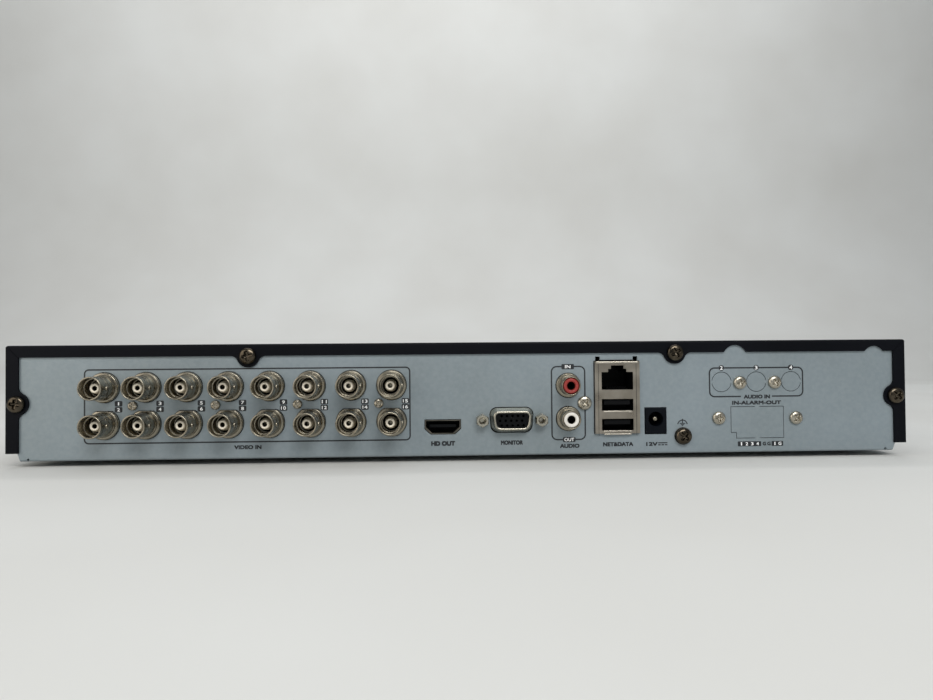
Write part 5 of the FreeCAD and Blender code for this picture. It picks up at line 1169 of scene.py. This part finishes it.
class RECORDER_OT_audio_sockets(bpy.types.Operator):
    """Build the sleeves and insulators of the two audio sockets"""
    bl_idname = "recorder.audio_sockets"
    bl_label = "Audio sockets"

    def execute(self, context):
        build_audio_sockets(context.scene.recorder_look)
        return {"FINISHED"}


class RECORDER_OT_monitor_socket(bpy.types.Operator):
    """Build the monitor socket's shell and nuts, and the data sockets' lips"""
    bl_idname = "recorder.monitor_socket"
    bl_label = "Monitor socket"

    def execute(self, context):
        build_monitor_socket()
        build_shield_lips()
        return {"FINISHED"}


class RECORDER_OT_screws(bpy.types.Operator):
    """Build the screws seen from outside"""
    bl_idname = "recorder.screws"
    bl_label = "Screws"

    def execute(self, context):
        build_screws(context.scene.recorder_look)
        return {"FINISHED"}


class RECORDER_OT_legends(bpy.types.Operator):
    """Print the words, boxes and tags on the rear panel"""
    bl_idname = "recorder.legends"
    bl_label = "Printed legends"

    def execute(self, context):
        build_legends(context.scene.recorder_look)
        return {"FINISHED"}


class RECORDER_OT_board(bpy.types.Operator):
    """Build the small parts, cans and coils on the main board"""
    bl_idname = "recorder.board"
    bl_label = "Board parts"

    def execute(self, context):
        build_board(context.scene.recorder_look)
        return {"FINISHED"}


class RECORDER_OT_drive(bpy.types.Operator):
    """Finish the hard disk and put a plain label on its lid"""
    bl_idname = "recorder.drive"
    bl_label = "Hard disk"

    def execute(self, context):
        build_drive()
        return {"FINISHED"}


class RECORDER_OT_case(bpy.types.Operator):
    """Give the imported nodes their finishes"""
    bl_idname = "recorder.case"
    bl_label = "Case finishes"

    def execute(self, context):
        build_case(context.scene.recorder_look)
        return {"FINISHED"}


OPERATORS = (RECORDER_OT_stage, RECORDER_OT_camera_sockets, RECORDER_OT_audio_sockets,
             RECORDER_OT_monitor_socket, RECORDER_OT_screws, RECORDER_OT_legends, RECORDER_OT_board,
             RECORDER_OT_drive, RECORDER_OT_case)


class RECORDER_PT_finish(bpy.types.Panel):
    """Settings and steps of the recorder"""
    bl_idname = "RECORDER_PT_finish"
    bl_label = "Recorder"
    bl_space_type = "VIEW_3D"
    bl_region_type = "UI"
    bl_category = "Recorder"

    def draw(self, context):
        for group in (context.scene.recorder_look, context.scene.recorder_shot):
            box = self.layout.box()
            for name in group.__annotations__:
                box.prop(group, name)
        for operator in OPERATORS:
            self.layout.operator(operator.bl_idname)


CLASSES = (RecorderLook, RecorderShot, *OPERATORS, RECORDER_PT_finish)


def register():
    """Registers the classes and puts the two groups of settings on the scene."""
    for each in CLASSES:
        bpy.utils.register_class(each)
    bpy.types.Scene.recorder_look = bpy.props.PointerProperty(type=RecorderLook)
    bpy.types.Scene.recorder_shot = bpy.props.PointerProperty(type=RecorderShot)


def unregister():
    """Takes the settings and the classes away again."""
    del bpy.types.Scene.recorder_shot
    del bpy.types.Scene.recorder_look
    for each in reversed(CLASSES):
        bpy.utils.unregister_class(each)


def main():
    """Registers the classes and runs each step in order."""
    register()
    for operator in OPERATORS:
        group, name = operator.bl_idname.split(".")
        getattr(getattr(bpy.ops, group), name)()


if __name__ == "__main__":
    main()
